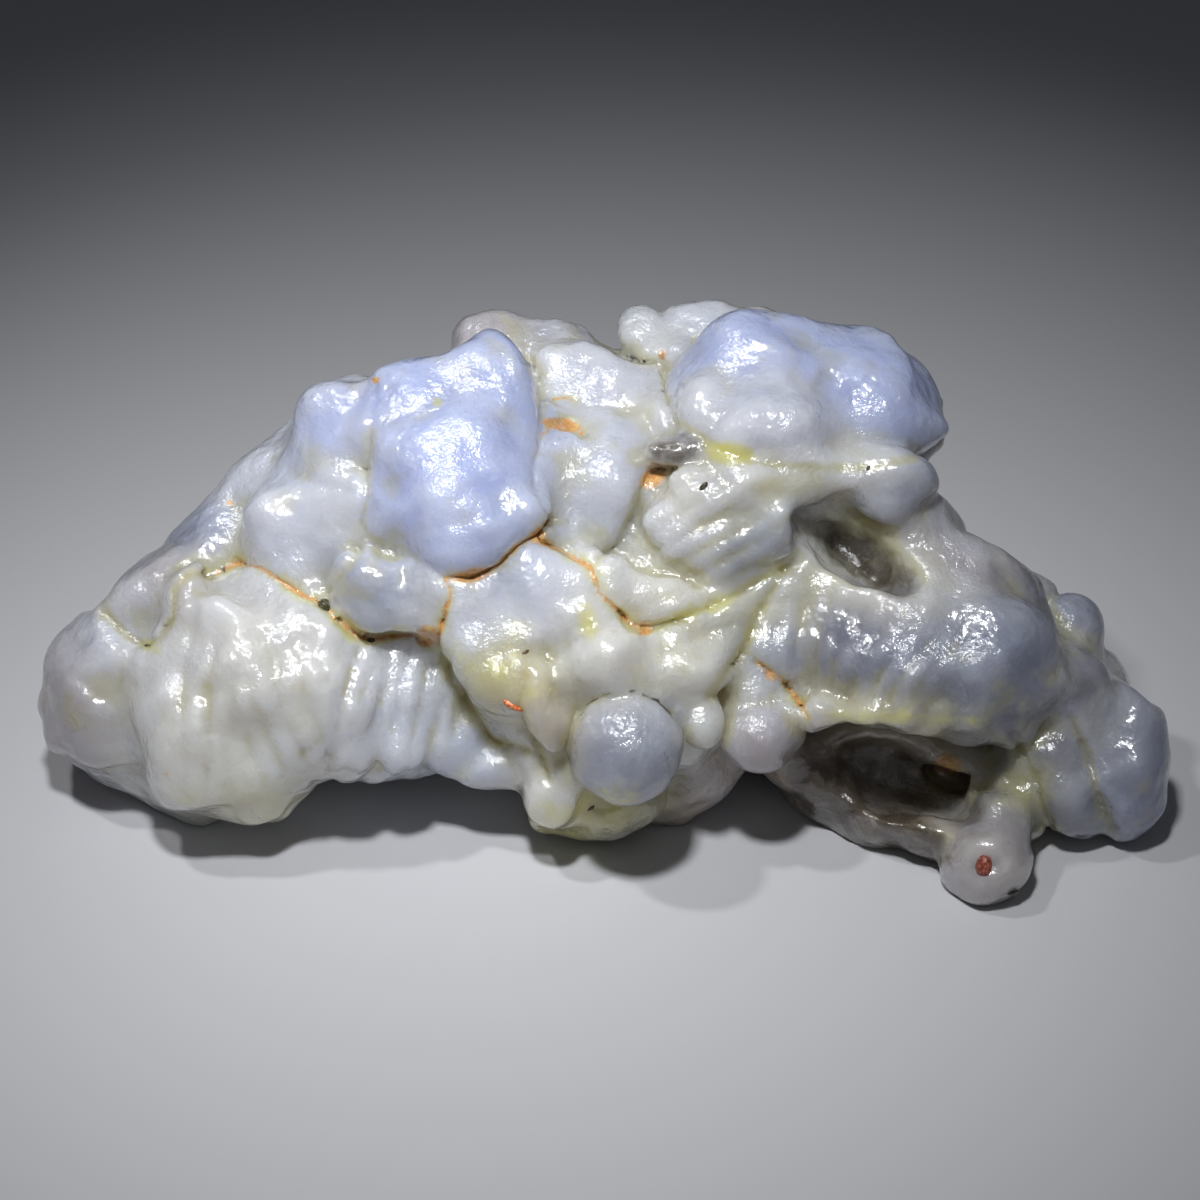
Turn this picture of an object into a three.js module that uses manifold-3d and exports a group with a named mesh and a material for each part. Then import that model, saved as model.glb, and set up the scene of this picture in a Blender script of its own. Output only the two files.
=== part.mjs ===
// Gobi agate nodule: one free-standing stone grown as a cluster of rounded lobes.
// Millimetres, +Z up, +X along the stone's length. The knobbly face looks to -Y and a little up.
// Every lobe is a stretched ball that melts into its neighbours. One skin runs over all of them,
// and the feet are levelled on one plane so that the stone doesn't rock.
import * as THREE from "three";
import { mergeVertices } from "three/addons/utils/BufferGeometryUtils.js";
import { MarchingCubes } from "three/addons/objects/MarchingCubes.js";
import Module from "manifold-3d";

// The face is laid out as it looks from the front, 35 degrees above the table.
// "across" and "up" are measured in that view, "towards" runs from the stone to the eye.
const FACE_TILT_DEG = 35;
const EYE_DISTANCE = 130;
// How far the plain masses sit below the lobes that cover them, and how softly they blend.
const MASS_SINK = 0.4;
const MASS_BLEND = 1;
// Height of the table plane in the layout, cut flat under the feet.
const TABLE_Z = -7.4;
// Gentle waviness of every surface: amplitude and the length of one wave.
const WAVE_HEIGHT = 0.12;
const WAVE_LENGTH = 5.5;
// Lobes spread over the back and the underside.
const BACK_LOBE_COUNT = 56;
const BACK_LOBE_SMALL = 1.5;
const BACK_LOBE_SPREAD = 1.5;
const BACK_LOBE_SUNK = 0.55;
const BACK_BLEND = 0.5;
const BACK_CLEARANCE = 0.45;
// The skin: cells along each side of the cube it is found in, half the side of that cube, and the
// passes that even out its triangles.
const SKIN_CELLS = 50;
const SKIN_REACH = 25.2;
const SKIN_PASSES = 14;
const SKIN_EVEN = 0.5;
// Lobes farther than this from a point don't shape it, and the cells that list the near ones.
const FIELD_REACH = 3;
const CELL = 2;

// Masses under the face: name, across, up, half width, half height, half depth, roll, towards.
const FACE_MASSES = [
  ["left", -12.6, -2.4, 8.2, 5.4, 6, 18, 0],
  ["middle_left", -5.6, 2.6, 7.6, 7.4, 7, 10, 0],
  ["middle_right", 5.6, 4.4, 6.6, 5.8, 6.6, 0, -0.4],
  ["middle_low", -0.4, -2.6, 7, 5.6, 7.2, 0, 0],
  ["right", 12.4, -0.6, 8.2, 3.2, 6, -28, 0.8],
  ["right_end", 19.2, -4.8, 2.7, 3.8, 4.4, 8, -0.3],
];

// Masses behind the face: name, x, y, z, half sizes along x, y, z.
const BACK_MASSES = [
  ["back_middle", -1, 3.2, -0.5, 12.5, 6.3, 6.9],
  ["back_left", -12.6, 0.8, -3, 8, 5.8, 4.2],
  ["back_right", 12.4, 2, -4, 8, 5.2, 3.4],
];

// Lobes of the face: name, across, up, half width, half height, half depth, roll, how proud,
// how softly it blends into its neighbours.
const FACE_LOBES = [
  ["left_end", -19.7, -3.9, 2.6, 3.4, 3.6, 0, 0.3, 0.9],
  ["left_end_top", -18.9, -2, 1.9, 1.8, 2.4, 30, 0.2, 0.7],
  ["left_rim", -17, -7.4, 2.9, 1.3, 2, -22, -0.3, 0.54],
  ["left_low", -14.6, -5.7, 3.4, 3.2, 3, 0, 0.75, 1],
  ["left_fold", -16.9, -4.6, 1.5, 3.4, 1.8, 4, 0.55, 0.8],
  ["left_fold_2", -15.6, -4.4, 1.1, 2.8, 1.6, 8, 0.65, 0.8],
  ["left_swell", -11.6, -3.2, 2.9, 3.9, 2.8, 14, 0.85, 1],
  ["left_dimple_lobe", -13.6, -6.9, 1.9, 1.8, 1.6, 0, 0.8, 0.67],
  ["curl_head", -15.25, -0.8, 0.9, 0.9, 1, 0, 0.7, 0.6],
  ["curl_tail", -14.2, -1.9, 0.6, 1.2, 0.9, 20, 0.65, 0.8],
  ["brown_slip", -16.4, -0.1, 1, 1.6, 1.2, -10, 0.6, 0.6],
  ["wedge", -17.7, 0.1, 2.5, 1.7, 2, 32, 0.35, 0.6],
  ["shoulder", -15.1, 2.1, 3.5, 1.7, 2.6, 42, 0.7, 0.8],
  ["slope", -12.7, 4.5, 4, 1.9, 2.6, 47, 0.75, 0.9],
  ["gloss_left", -13, 3.9, 2, 1.6, 1.8, 30, 0.6, 0.9],
  ["gloss", -11.5, 2.8, 2.8, 3, 2.2, -8, 0.9, 1],
  ["brow", -10.5, 6.2, 2, 2.2, 2, 0, 0.75, 0.9],
  ["brow_top", -10.3, 7.5, 2, 1.3, 1.8, 35, 0.6, 0.8],
  ["ridge_back", -3.1, 9.85, 3, 1.7, 2.4, -5, 0.3, 1],
  ["ridge_right", -1.3, 9.9, 1.5, 1.2, 1.6, -20, 0, 0.54],
  ["ridge_dip", 0.8, 9, 1.6, 1.1, 1.6, -15, 0, 0.54],
  ["tooth_left", -7.4, 7.5, 2.7, 2.2, 2.2, 30, 1, 1],
  ["tooth_top", -4.2, 7.6, 2.1, 3, 2.2, 6, 1, 1],
  ["tooth", -5.8, 4.4, 3.5, 3.4, 2.8, 12, 1.05, 1],
  ["tooth_root", -5.2, 2.2, 2.4, 1.9, 1.9, 10, 1, 1],
  ["tooth_corner", -2.8, 3.6, 0.95, 1.1, 1, 0, 0.9, 0.9],
  ["middle_top", 0.4, 7.5, 2.7, 2.5, 2.4, 0, 0.9, 0.8],
  ["middle_left_top", -1.4, 8.6, 1.5, 2, 1.6, 0, 0.7, 0.8],
  ["middle_mid", -0.1, 4.2, 2.5, 3.1, 2.4, -14, 0.85, 0.8],
  ["eye", -1.5, 6.25, 1, 0.75, 0.5, 5, 0.3, 0.5],
  ["pebble", -8.3, 0.5, 2.7, 1.9, 1.9, -8, 0.75, 0.25],
  ["pebble_right", -6.3, 0.5, 1.3, 1.3, 1.2, 0, 0.5, 0.41],
  ["pebble_foot", -6.8, -0.8, 1.2, 0.7, 0.9, 0, 0.4, 0.41],
  ["row_1", -9.9, -4, 1.4, 2.7, 1.6, -6, 1, 0.35],
  ["row_2", -8.2, -3.9, 1.5, 2.9, 1.7, 4, 1.1, 0.35],
  ["row_3", -6.6, -3.6, 1.4, 2.4, 1.5, -20, 0.95, 0.35],
  ["row_low", -8.5, -6, 2.5, 1.3, 1.8, 3, 0.8, 0.67],
  ["row_corner", -10.4, -6.4, 1.2, 0.8, 1, 0, 0.7, 0.47],
  ["row_end", -5.7, -5.1, 1.7, 1.9, 1.6, 0, 0.5, 0.54],
  ["row_tip", -4.1, -6.5, 1.6, 1.15, 1.4, -5, 0.4, 0.47],
  ["apron", -2.9, -3.1, 3, 1.9, 2.2, 0, 0.8, 0.67],
  ["apron_right", 0.3, -2.3, 2.1, 1.9, 1.8, 0, 0.7, 0.54],
  ["nose_left", -4.7, -0.8, 2, 2.4, 1.9, 14, 1.1, 0.8],
  ["nose", -2.2, 0.3, 2.3, 2.6, 2.2, 0, 1.5, 0.9],
  ["nose_right", -0.5, 0, 1.5, 2.1, 1.7, -28, 1, 0.9],
  ["nose_bump", -4.1, -1.15, 0.75, 0.7, 0.8, 0, 0.95, 0.6],
  ["keel", -2.3, -4.3, 0.95, 2, 1.1, 24, 0.95, 0.5],
  ["bubble_collar", 1.4, -4.3, 2.6, 1.9, 1.6, 0, 0.35, 0.4],
  ["bubble", 1, -5.85, 2.3, 2.35, 2.3, 0, 2.6, 0.08],
  ["foot_low", -0.3, -7.75, 2.9, 1.9, 2.2, 0, 1, 0.8],
  ["foot_left", -1.7, -6.8, 1.3, 2.3, 1.5, 0, 0.75, 1],
  ["lip", 3.3, -7.3, 2.6, 1.4, 1.7, 36, 0.45, 0.34],
  ["lip_right", 4.6, -6.4, 1.9, 1.2, 1.4, 40, 0.2, 0.47],
  ["bead", 4.1, -4.9, 0.85, 1.1, 0.9, 0, 1.5, 0.2],
  ["flow_left", 7, -0.6, 2.1, 1.9, 1.8, 0, 1, 0.9],
  ["flow_1", 8.4, -2.4, 2.9, 2.5, 2, -5, 0.85, 0.9],
  ["flow_2", 10.4, -1.9, 2.4, 2.6, 2.2, 0, 0.95, 0.9],
  ["flow_3", 13, -2.6, 3.4, 2.5, 2.2, 0, 1, 1],
  ["flow_4", 15.6, -2, 2.5, 2.2, 2, -15, 0.8, 1],
  ["flow_end", 15.8, -3.9, 2.3, 1.6, 1.6, 0, 0.8, 0.8],
  ["arm", 14.2, 1, 2.9, 1.7, 1.8, -38, 0.5, 0.9],
  ["arm_top", 13.2, 2.4, 1.5, 1.5, 1.6, -50, 0.5, 0.9],
  ["arm_right", 16.1, 0.1, 2.3, 1.4, 1.7, -30, 0.2, 0.8],
  ["knuckle_1", 17.1, 0.25, 0.85, 0.85, 1, 0, 0.2, 0.4],
  ["knuckle_2", 18.8, -1.25, 1.45, 1.45, 1.4, 0, 0.7, 0.4],
  ["knuckle_3", 18.6, -3.4, 1.75, 1.6, 1.6, 0, 0.4, 1],
  ["right_end", 20.7, -6.3, 2, 3.4, 2.2, 10, 0.9, 0.6],
  ["right_bead", 17.6, -6.2, 1.6, 1.8, 1.6, 0, 1.1, 0.6],
  ["right_low", 19, -7.9, 1.5, 1.6, 1.5, 0, 1.3, 0.5],
  ["cap_1", 1.65, 10.6, 1.05, 0.95, 1.2, 0, 0.8, 0.41],
  ["cap_2", 4, 10.7, 1.7, 1.4, 1.6, 0, 1, 0.41],
  ["cap_root", 3, 9.6, 1.8, 1.2, 1.6, 0, 0.3, 0.54],
  ["loaf_left", 5.8, 8.7, 2.6, 2.7, 2.2, 0, 0.75, 1],
  ["loaf_top_1", 6.4, 10.5, 1.4, 1.1, 1.4, 0, 0.4, 0.7],
  ["loaf_top_2", 8.5, 9.9, 1.5, 1.1, 1.4, -5, 0.5, 0.7],
  ["loaf_top_3", 10.7, 9.3, 1.5, 1.1, 1.4, -25, 0.6, 0.7],
  ["loaf", 8.9, 8, 5.1, 3.05, 3, -12, 1.25, 1],
  ["loaf_nose", 11.9, 7, 1.9, 1.9, 1.7, 0, 1, 0.9],
  ["loaf_under", 6.9, 6.9, 2.4, 1.8, 1.6, 0, 1.2, 1],
  ["loaf_tab", 4, 7.6, 1, 1.3, 1.1, 0, 0.8, 0.6],
  ["neck", 9.4, 5.1, 2.9, 1.3, 1.7, 0, 1.1, 0.9],
  ["eaves", 11.6, 3, 2.6, 1, 1.3, -30, 0.5, 0.6],
  ["crystal", 3.1, 6, 1.3, 0.8, 0.8, 10, 0.45, 0.25],
  ["crystal_low", 3.8, 4.8, 1.1, 0.8, 0.9, 0, 0.5, 0.3],
  ["finger_back", 5.7, 4.4, 2.7, 1.2, 1.4, 16, 0.6, 0.6],
  ["finger_1", 6.8, 2.8, 1.25, 1.9, 1.2, -38, 0.9, 0.45],
  ["finger_2", 3.6, 2.9, 1.7, 1.4, 1.3, 20, 0.75, 0.6],
  ["finger_3", 5.1, 2.2, 1.3, 1.6, 1.2, -30, 0.8, 0.6],
  ["finger_4", 2.5, 1.2, 1.8, 1.3, 1.3, 10, 0.8, 0.6],
  ["finger_5", 2.3, 0, 1.8, 1, 1.2, -12, 0.9, 0.5],
  ["finger_6", 5, 0.7, 2.4, 1.2, 1.3, 16, 0.8, 0.6],
  ["lap_1", 4.2, -1, 2.4, 1.4, 1.4, 16, 0.7, 0.9],
  ["lap_2", 3.2, -2.5, 2.2, 1.5, 1.5, 0, 0.8, 0.7],
  ["left_mid", -14.1, -3.4, 1.9, 2, 1.6, 0, 0.75, 0.9],
];

// Scalloped hem of the right half, the ring-like toe and the wall at the back of the hollow:
// name, across, up, towards, half width, half height, half depth, roll, blend.
const UNDER_LOBES = [
  ["hem_2", 10.8, -4.6, 5.5, 0.95, 0.75, 1.3, 0, 0.4],
  ["hem_3", 12.3, -4.8, 5.6, 1, 0.75, 1.3, 0, 0.4],
  ["hem_4", 13.5, -4.85, 5.4, 0.8, 0.7, 1.2, 0, 0.4],
  ["hem_5", 15, -4.8, 4.9, 1, 0.75, 1.3, 0, 0.4],
  ["hem_6", 16.4, -5.1, 4.2, 0.9, 0.8, 1.3, 0, 0.4],
  ["wall", 11.4, -6.8, -0.6, 5.4, 2.9, 3.4, -22, 0.8],
  ["toe", 15.4, -10.35, 3.9, 1.8, 1.75, 1.8, 0, 0.3],
  ["toe_neck", 15.8, -8.8, 2.9, 1.7, 1.3, 1.7, 0, 0.6],
  ["wall_1", 13.3, -9.1, 2.2, 1.8, 1.5, 1.9, -20, 0.7],
  ["wall_2", 11.2, -8.2, 1.2, 2, 1.6, 2.1, -25, 0.7],
  ["wall_3", 9.2, -7.1, 0.2, 2, 1.5, 2.2, -25, 0.7],
  ["wall_4", 7.4, -6, 0.3, 1.8, 1.5, 2.2, -25, 0.7],
  ["wall_5", 14.8, -6.4, -0.6, 2.2, 1.7, 2.2, 0, 0.7],
  ["wall_6", 12, -5.5, -1.2, 2.4, 1.9, 2, 0, 0.7],
  ["ear_root", 12.7, 3.2, 3.2, 1.4, 1.3, 1.6, -40, 0.6],
  ["ear", 11.95, 4.35, 4.5, 1.5, 1.45, 1.3, 0, 0.45],
  ["toe_back", 16.6, -8.6, 1.7, 1.5, 1.3, 1.5, 0, 0.6],
  ["web_1", 18.4, -7.5, 1.9, 1.5, 1.8, 1.6, 0, 0.6],
  ["web_2", 17, -7, 1.7, 1.5, 1.5, 1.6, 0, 0.6],
  ["web_3", 14.3, -8.1, 1.2, 1.5, 1.2, 1.5, 0, 0.6],
  ["hem_1", 9, -4.45, 4.9, 1.3, 0.7, 1.2, -8, 0.6],
  ["bridge_1", 6.7, 0.3, 3.1, 2.2, 2.1, 2.2, 0, 0.9],
  ["bridge_2", 6.4, -2, 3.3, 2.1, 2, 2.2, 0, 0.9],
  ["drop_neck", 5.9, -3.6, 3.9, 1.3, 1.6, 1.6, 10, 0.5],
  ["drop_side", 7.4, -4.4, 4, 1, 1.3, 1.2, 0, 0.35],
  ["drop", 6.35, -5.4, 4.4, 1.55, 1.5, 1.55, 0, 0.3],
  ["wall_7", 13.6, -7.9, -0.9, 2.9, 2.2, 2.1, -10, 0.7],
  ["wall_8", 11, -7.4, -1.4, 3.4, 2.4, 2.2, -20, 0.7],
];

// Lobes that carry the stone: name, x, y, z, half sizes, blend.
const REST_LOBES = [
  ["rest_left", -13.4, -0.6, -5.3, 3.6, 3.3, 2.7, 0.3],
  ["rest_back", -5.4, 6.2, -5.4, 3.2, 2.6, 2.5, 0.3],
  ["rest_right", 12.6, 5.2, -5.2, 3.4, 2.7, 2.6, 0.3],
  ["rest_middle", 4.2, 2, -5.4, 3.4, 3.2, 1.9, 0.3],
];

// Hollows: name, across, up, towards, half width, half height, half depth, roll, blend.
const HOLLOWS = [
  ["cleft", 10.4, 2, 8, 3.3, 1.4, 5.2, -34, 0.5],
  ["hollow", 12, -7.2, 4.5, 3.8, 1.8, 3.6, -18, 0.5],
];

// Upper outline in the front view. Lobes of the back stay under it.
const TOP_LINE = [
  [-22, -4], [-21, -1.6], [-18.7, 0.4], [-17, 1.8], [-14.7, 4.4], [-12, 7], [-10.4, 8],
  [-4.6, 10.8], [0.2, 9.5], [3.8, 11.2], [8.5, 10.2], [11.9, 8.6], [13, 4.2], [14.1, 2.5],
  [16.8, 0.6], [19.5, -1], [20.2, -3.2], [21.7, -4.6], [22.5, -7],
];

const tilt = THREE.MathUtils.degToRad(FACE_TILT_DEG);
const ACROSS = new THREE.Vector3(1, 0, 0);
const UP = new THREE.Vector3(0, Math.sin(tilt), Math.cos(tilt));
const TOWARDS = new THREE.Vector3(0, -Math.cos(tilt), Math.sin(tilt));

// Depth of the front of the face masses at one place of the view.
function faceDepth(across, up) {
  let best = -9;
  for (const [, ca, cu, ra, ru, rt, roll, towards] of FACE_MASSES) {
    const angle = THREE.MathUtils.degToRad(roll);
    const da = across - ca;
    const du = up - cu;
    const along = (da * Math.cos(angle) + du * Math.sin(angle)) / ra;
    const over = (du * Math.cos(angle) - da * Math.sin(angle)) / ru;
    const q = along * along + over * over;
    if (q < 1.6) best = Math.max(best, towards + rt * Math.sqrt(Math.max(0, 1 - q)));
  }
  return best;
}

// A lobe laid out in the front view, a little smaller the nearer it is to the eye.
function viewLobe(across, up, towards, half, roll, blend, sunk) {
  const near = (EYE_DISTANCE - towards) / EYE_DISTANCE;
  const angle = THREE.MathUtils.degToRad(roll);
  return {
    centre: ACROSS.clone().multiplyScalar(across * near).addScaledVector(UP, up * near)
      .addScaledVector(TOWARDS, towards),
    axes: [
      ACROSS.clone().multiplyScalar(Math.cos(angle)).addScaledVector(UP, Math.sin(angle)),
      UP.clone().multiplyScalar(Math.cos(angle)).addScaledVector(ACROSS, -Math.sin(angle)),
      TOWARDS,
    ],
    half: [half[0] * near, half[1] * near, half[2]],
    blend,
    sunk,
  };
}

// A lobe laid out in the stone's own axes.
function plainLobe(x, y, z, half, blend, sunk) {
  const axes = [new THREE.Vector3(1, 0, 0), new THREE.Vector3(0, 1, 0), new THREE.Vector3(0, 0, 1)];
  return { centre: new THREE.Vector3(x, y, z), axes, half, blend, sunk };
}

function topLineAt(across) {
  const first = TOP_LINE[0];
  const last = TOP_LINE[TOP_LINE.length - 1];
  if (across <= first[0]) return first[1] - 3 * (first[0] - across);
  if (across >= last[0]) return last[1] - 3 * (across - last[0]);
  const i = TOP_LINE.findIndex((p) => across <= p[0]);
  const [x0, y0] = TOP_LINE[i - 1];
  const [x1, y1] = TOP_LINE[i];
  return y0 + ((y1 - y0) * (across - x0)) / (x1 - x0);
}

// Distance from the middle of the stone to the outside of the back masses in one direction.
function reach(middle, dir) {
  let best = 0;
  for (const [, x, y, z, rx, ry, rz] of BACK_MASSES) {
    const half = new THREE.Vector3(rx, ry, rz);
    const o = middle.clone().sub(new THREE.Vector3(x, y, z)).divide(half);
    const e = dir.clone().divide(half);
    const root = o.dot(e) ** 2 - e.lengthSq() * (o.lengthSq() - 1);
    if (root > 0) best = Math.max(best, (-o.dot(e) + Math.sqrt(root)) / e.lengthSq());
  }
  return best;
}

// Lobes of the back and the underside, on a spiral from the middle of the back.
function backLobes() {
  const lobes = [];
  const golden = Math.PI * (3 - Math.sqrt(5));
  const middle = new THREE.Vector3(0, 1, -1.5);
  for (let i = 0; i < BACK_LOBE_COUNT; i += 1) {
    const c = 1 - (1.3 * (i + 0.5)) / BACK_LOBE_COUNT;
    const s = Math.sqrt(1 - c * c);
    const dir = new THREE.Vector3(s * Math.cos(i * golden) * 2.2, c * 0.95, s * Math.sin(i * golden) * 0.75);
    dir.normalize();
    const size = BACK_LOBE_SMALL + BACK_LOBE_SPREAD * ((i * 0.618034 + 0.3) % 1) ** 1.5;
    const flat = 0.75 + 0.35 * ((i * 0.414214) % 1);
    const p = middle.clone().addScaledVector(dir, reach(middle, dir) - size * BACK_LOBE_SUNK);
    for (let step = 0; step < 24; step += 1) {
      const near = EYE_DISTANCE / (EYE_DISTANCE - p.dot(TOWARDS));
      const across = p.x * near;
      const line = Math.min(topLineAt(across - size), topLineAt(across), topLineAt(across + size));
      if (line - p.dot(UP) * near - size >= 0) break;
      p.z -= 0.35;
      p.x *= 0.985;
    }
    p.z = Math.max(p.z, TABLE_Z + size * flat + BACK_CLEARANCE);
    lobes.push(plainLobe(p.x, p.y, p.z, [size * 1.25, size, size * flat], BACK_BLEND, 0));
  }
  return lobes;
}

const lobes = [];
for (const [, a, u, ra, ru, rt, roll, towards] of FACE_MASSES) {
  lobes.push(viewLobe(a, u, towards, [ra, ru, rt], roll, MASS_BLEND, MASS_SINK));
}
for (const [, x, y, z, rx, ry, rz] of BACK_MASSES) {
  lobes.push(plainLobe(x, y, z, [rx, ry, rz], MASS_BLEND, MASS_SINK));
}
lobes.push(...backLobes());
for (const [, x, y, z, rx, ry, rz, blend] of REST_LOBES) {
  lobes.push(plainLobe(x, y, z, [rx, ry, rz], blend, 0));
}
for (const [, a, u, towards, ra, ru, rt, roll, blend] of UNDER_LOBES) {
  lobes.push(viewLobe(a, u, towards, [ra, ru, rt], roll, blend, 0));
}
for (const [, a, u, ra, ru, rt, roll, proud, blend] of FACE_LOBES) {
  lobes.push(viewLobe(a, u, faceDepth(a, u) + proud - rt, [ra, ru, rt], roll, blend, 0));
}
const hollows = HOLLOWS.map(([, a, u, towards, ra, ru, rt, roll, blend]) => (
  viewLobe(a, u, towards, [ra, ru, rt], roll, blend, 0)
));

// Distance from a point to the skin of one lobe, negative inside it.
function toLobe(lobe, x, y, z) {
  const dx = x - lobe.centre.x;
  const dy = y - lobe.centre.y;
  const dz = z - lobe.centre.z;
  let first = 0;
  let second = 0;
  for (let k = 0; k < 3; k += 1) {
    const axis = lobe.axes[k];
    const v = (dx * axis.x + dy * axis.y + dz * axis.z) / lobe.half[k];
    first += v * v;
    second += (v / lobe.half[k]) ** 2;
  }
  const k0 = Math.sqrt(first) + 1e-9;
  return (k0 * (k0 - 1)) / (Math.sqrt(second) + 1e-9) + lobe.sunk;
}

// The lobes that can shape a point, kept in order for each cell of space.
const cells = new Map();
function lobesNear(x, y, z) {
  const spot = [Math.floor(x / CELL), Math.floor(y / CELL), Math.floor(z / CELL)];
  const key = (spot[0] + 100) * 40000 + (spot[1] + 100) * 200 + spot[2] + 100;
  let list = cells.get(key);
  if (!list) {
    const middle = new THREE.Vector3(...spot).addScalar(0.5).multiplyScalar(CELL);
    list = lobes.filter((lobe) => (
      middle.distanceTo(lobe.centre) < Math.max(...lobe.half) + FIELD_REACH + lobe.blend + CELL
    ));
    cells.set(key, list);
  }
  return list;
}

// Distance from a point to the skin of the whole stone, negative inside it.
function toStone(px, py, pz) {
  const k = (2 * Math.PI) / WAVE_LENGTH;
  const x = px - WAVE_HEIGHT * (Math.sin(k * py + 1.3) + Math.sin(k * 1.7 * pz + 0.4));
  const y = py - WAVE_HEIGHT * (Math.sin(k * pz + 2.1) + Math.sin(k * 1.6 * px + 3.2));
  const z = pz - WAVE_HEIGHT * (Math.sin(k * px + 0.7) + Math.sin(k * 1.8 * py + 5.1));
  let value = FIELD_REACH;
  for (const lobe of lobesNear(x, y, z)) {
    const d = toLobe(lobe, x, y, z);
    const mix = Math.min(1, Math.max(0, 0.5 + (0.5 * (value - d)) / lobe.blend));
    value = value * (1 - mix) + d * mix - lobe.blend * mix * (1 - mix);
  }
  for (const hollow of hollows) {
    const d = -toLobe(hollow, x, y, z);
    const mix = Math.min(1, Math.max(0, 0.5 + (0.5 * (value - d)) / hollow.blend));
    value = d * (1 - mix) + value * mix + hollow.blend * mix * (1 - mix);
  }
  return value;
}

// The skin is found where the distance changes sign, in a cube of cells round the stone.
const agate = new THREE.MeshStandardMaterial({ color: 0xd9dbdc, roughness: 0.3, metalness: 0 });
agate.name = "agate";
const cloud = new MarchingCubes(SKIN_CELLS, agate, false, false, 40000);
cloud.isolation = 0;
const spot = (i) => (SKIN_REACH * (i - SKIN_CELLS / 2)) / (SKIN_CELLS / 2);
for (let k = 0; k < SKIN_CELLS; k += 1) {
  for (let j = 0; j < SKIN_CELLS; j += 1) {
    for (let i = 0; i < SKIN_CELLS; i += 1) {
      cloud.field[(k * SKIN_CELLS + j) * SKIN_CELLS + i] = -toStone(spot(i), spot(j), spot(k));
    }
  }
}
cloud.update();
const found = new THREE.BufferGeometry();
const corners = cloud.geometry.attributes.position.array.slice(0, 3 * cloud.count);
found.setAttribute("position", new THREE.BufferAttribute(corners, 3));
found.scale(SKIN_REACH, SKIN_REACH, SKIN_REACH);
const skin = mergeVertices(found, 1e-3);

// The triangles are evened out along the surface and every vertex is set back onto it.
const place = skin.attributes.position;
const faces = skin.index.array;
const rings = Array.from({ length: place.count }, () => new Set());
for (let i = 0; i < faces.length; i += 3) {
  for (let k = 0; k < 3; k += 1) {
    rings[faces[i + k]].add(faces[i + ((k + 1) % 3)]);
    rings[faces[i + ((k + 1) % 3)]].add(faces[i + k]);
  }
}
const STEP = 0.02;
for (let pass = 0; pass < SKIN_PASSES; pass += 1) {
  const even = pass < SKIN_PASSES - 3 ? SKIN_EVEN : 0;
  const next = Float32Array.from(place.array);
  for (let i = 0; i < place.count; i += 1) {
    const here = new THREE.Vector3().fromBufferAttribute(place, i);
    const value = toStone(here.x, here.y, here.z);
    const slope = new THREE.Vector3(
      toStone(here.x + STEP, here.y, here.z) - value,
      toStone(here.x, here.y + STEP, here.z) - value,
      toStone(here.x, here.y, here.z + STEP) - value,
    ).normalize();
    const move = new THREE.Vector3();
    for (const n of rings[i]) move.add(new THREE.Vector3().fromBufferAttribute(place, n));
    move.divideScalar(rings[i].size).sub(here);
    move.addScaledVector(slope, -move.dot(slope)).multiplyScalar(even);
    move.addScaledVector(slope, -Math.min(0.3, Math.max(-0.3, value * 0.8)));
    here.add(move).toArray(next, 3 * i);
  }
  place.array.set(next);
}

const wasm = await Module();
wasm.setup();
const { Manifold, Mesh: SolidMesh } = wasm;

function solidOf(geometry) {
  return new Manifold(new SolidMesh({
    numProp: 3,
    vertProperties: Float32Array.from(geometry.attributes.position.array),
    triVerts: Uint32Array.from(geometry.index.array),
  }));
}

// The feet are levelled by cutting off what reaches below the table plane.
const plate = new THREE.BoxGeometry(80, 60, 10);
plate.deleteAttribute("normal");
plate.deleteAttribute("uv");
const block = mergeVertices(plate, 1e-4);
block.translate(0, 0, TABLE_Z - 5);
const stone = solidOf(skin).subtract(solidOf(block));

// Only the one body is kept, then it is set on its feet over the origin.
const body = stone.decompose().sort((p, q) => q.volume() - p.volume())[0];
const box = body.boundingBox();
const seated = body.translate([
  -(box.min[0] + box.max[0]) / 2,
  -(box.min[1] + box.max[1]) / 2,
  -box.min[2],
]);

const solid = seated.getMesh();
const geometry = new THREE.BufferGeometry();
const places = new Float32Array(solid.numVert * 3);
for (let i = 0; i < solid.numVert; i += 1) {
  for (let k = 0; k < 3; k += 1) places[3 * i + k] = solid.vertProperties[solid.numProp * i + k];
}
geometry.setAttribute("position", new THREE.BufferAttribute(places, 3));
geometry.setIndex(new THREE.BufferAttribute(Uint32Array.from(solid.triVerts), 1));
geometry.computeVertexNormals();

const nodule = new THREE.Mesh(geometry, agate);
nodule.name = "agate_nodule";
const part = new THREE.Group();
part.name = "gobi_agate";
part.add(nodule);

export default part;
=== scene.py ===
"""Gobi agate nodule on a pale table: one waxy, translucent stone with earth stains in its seams."""
import math

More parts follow.
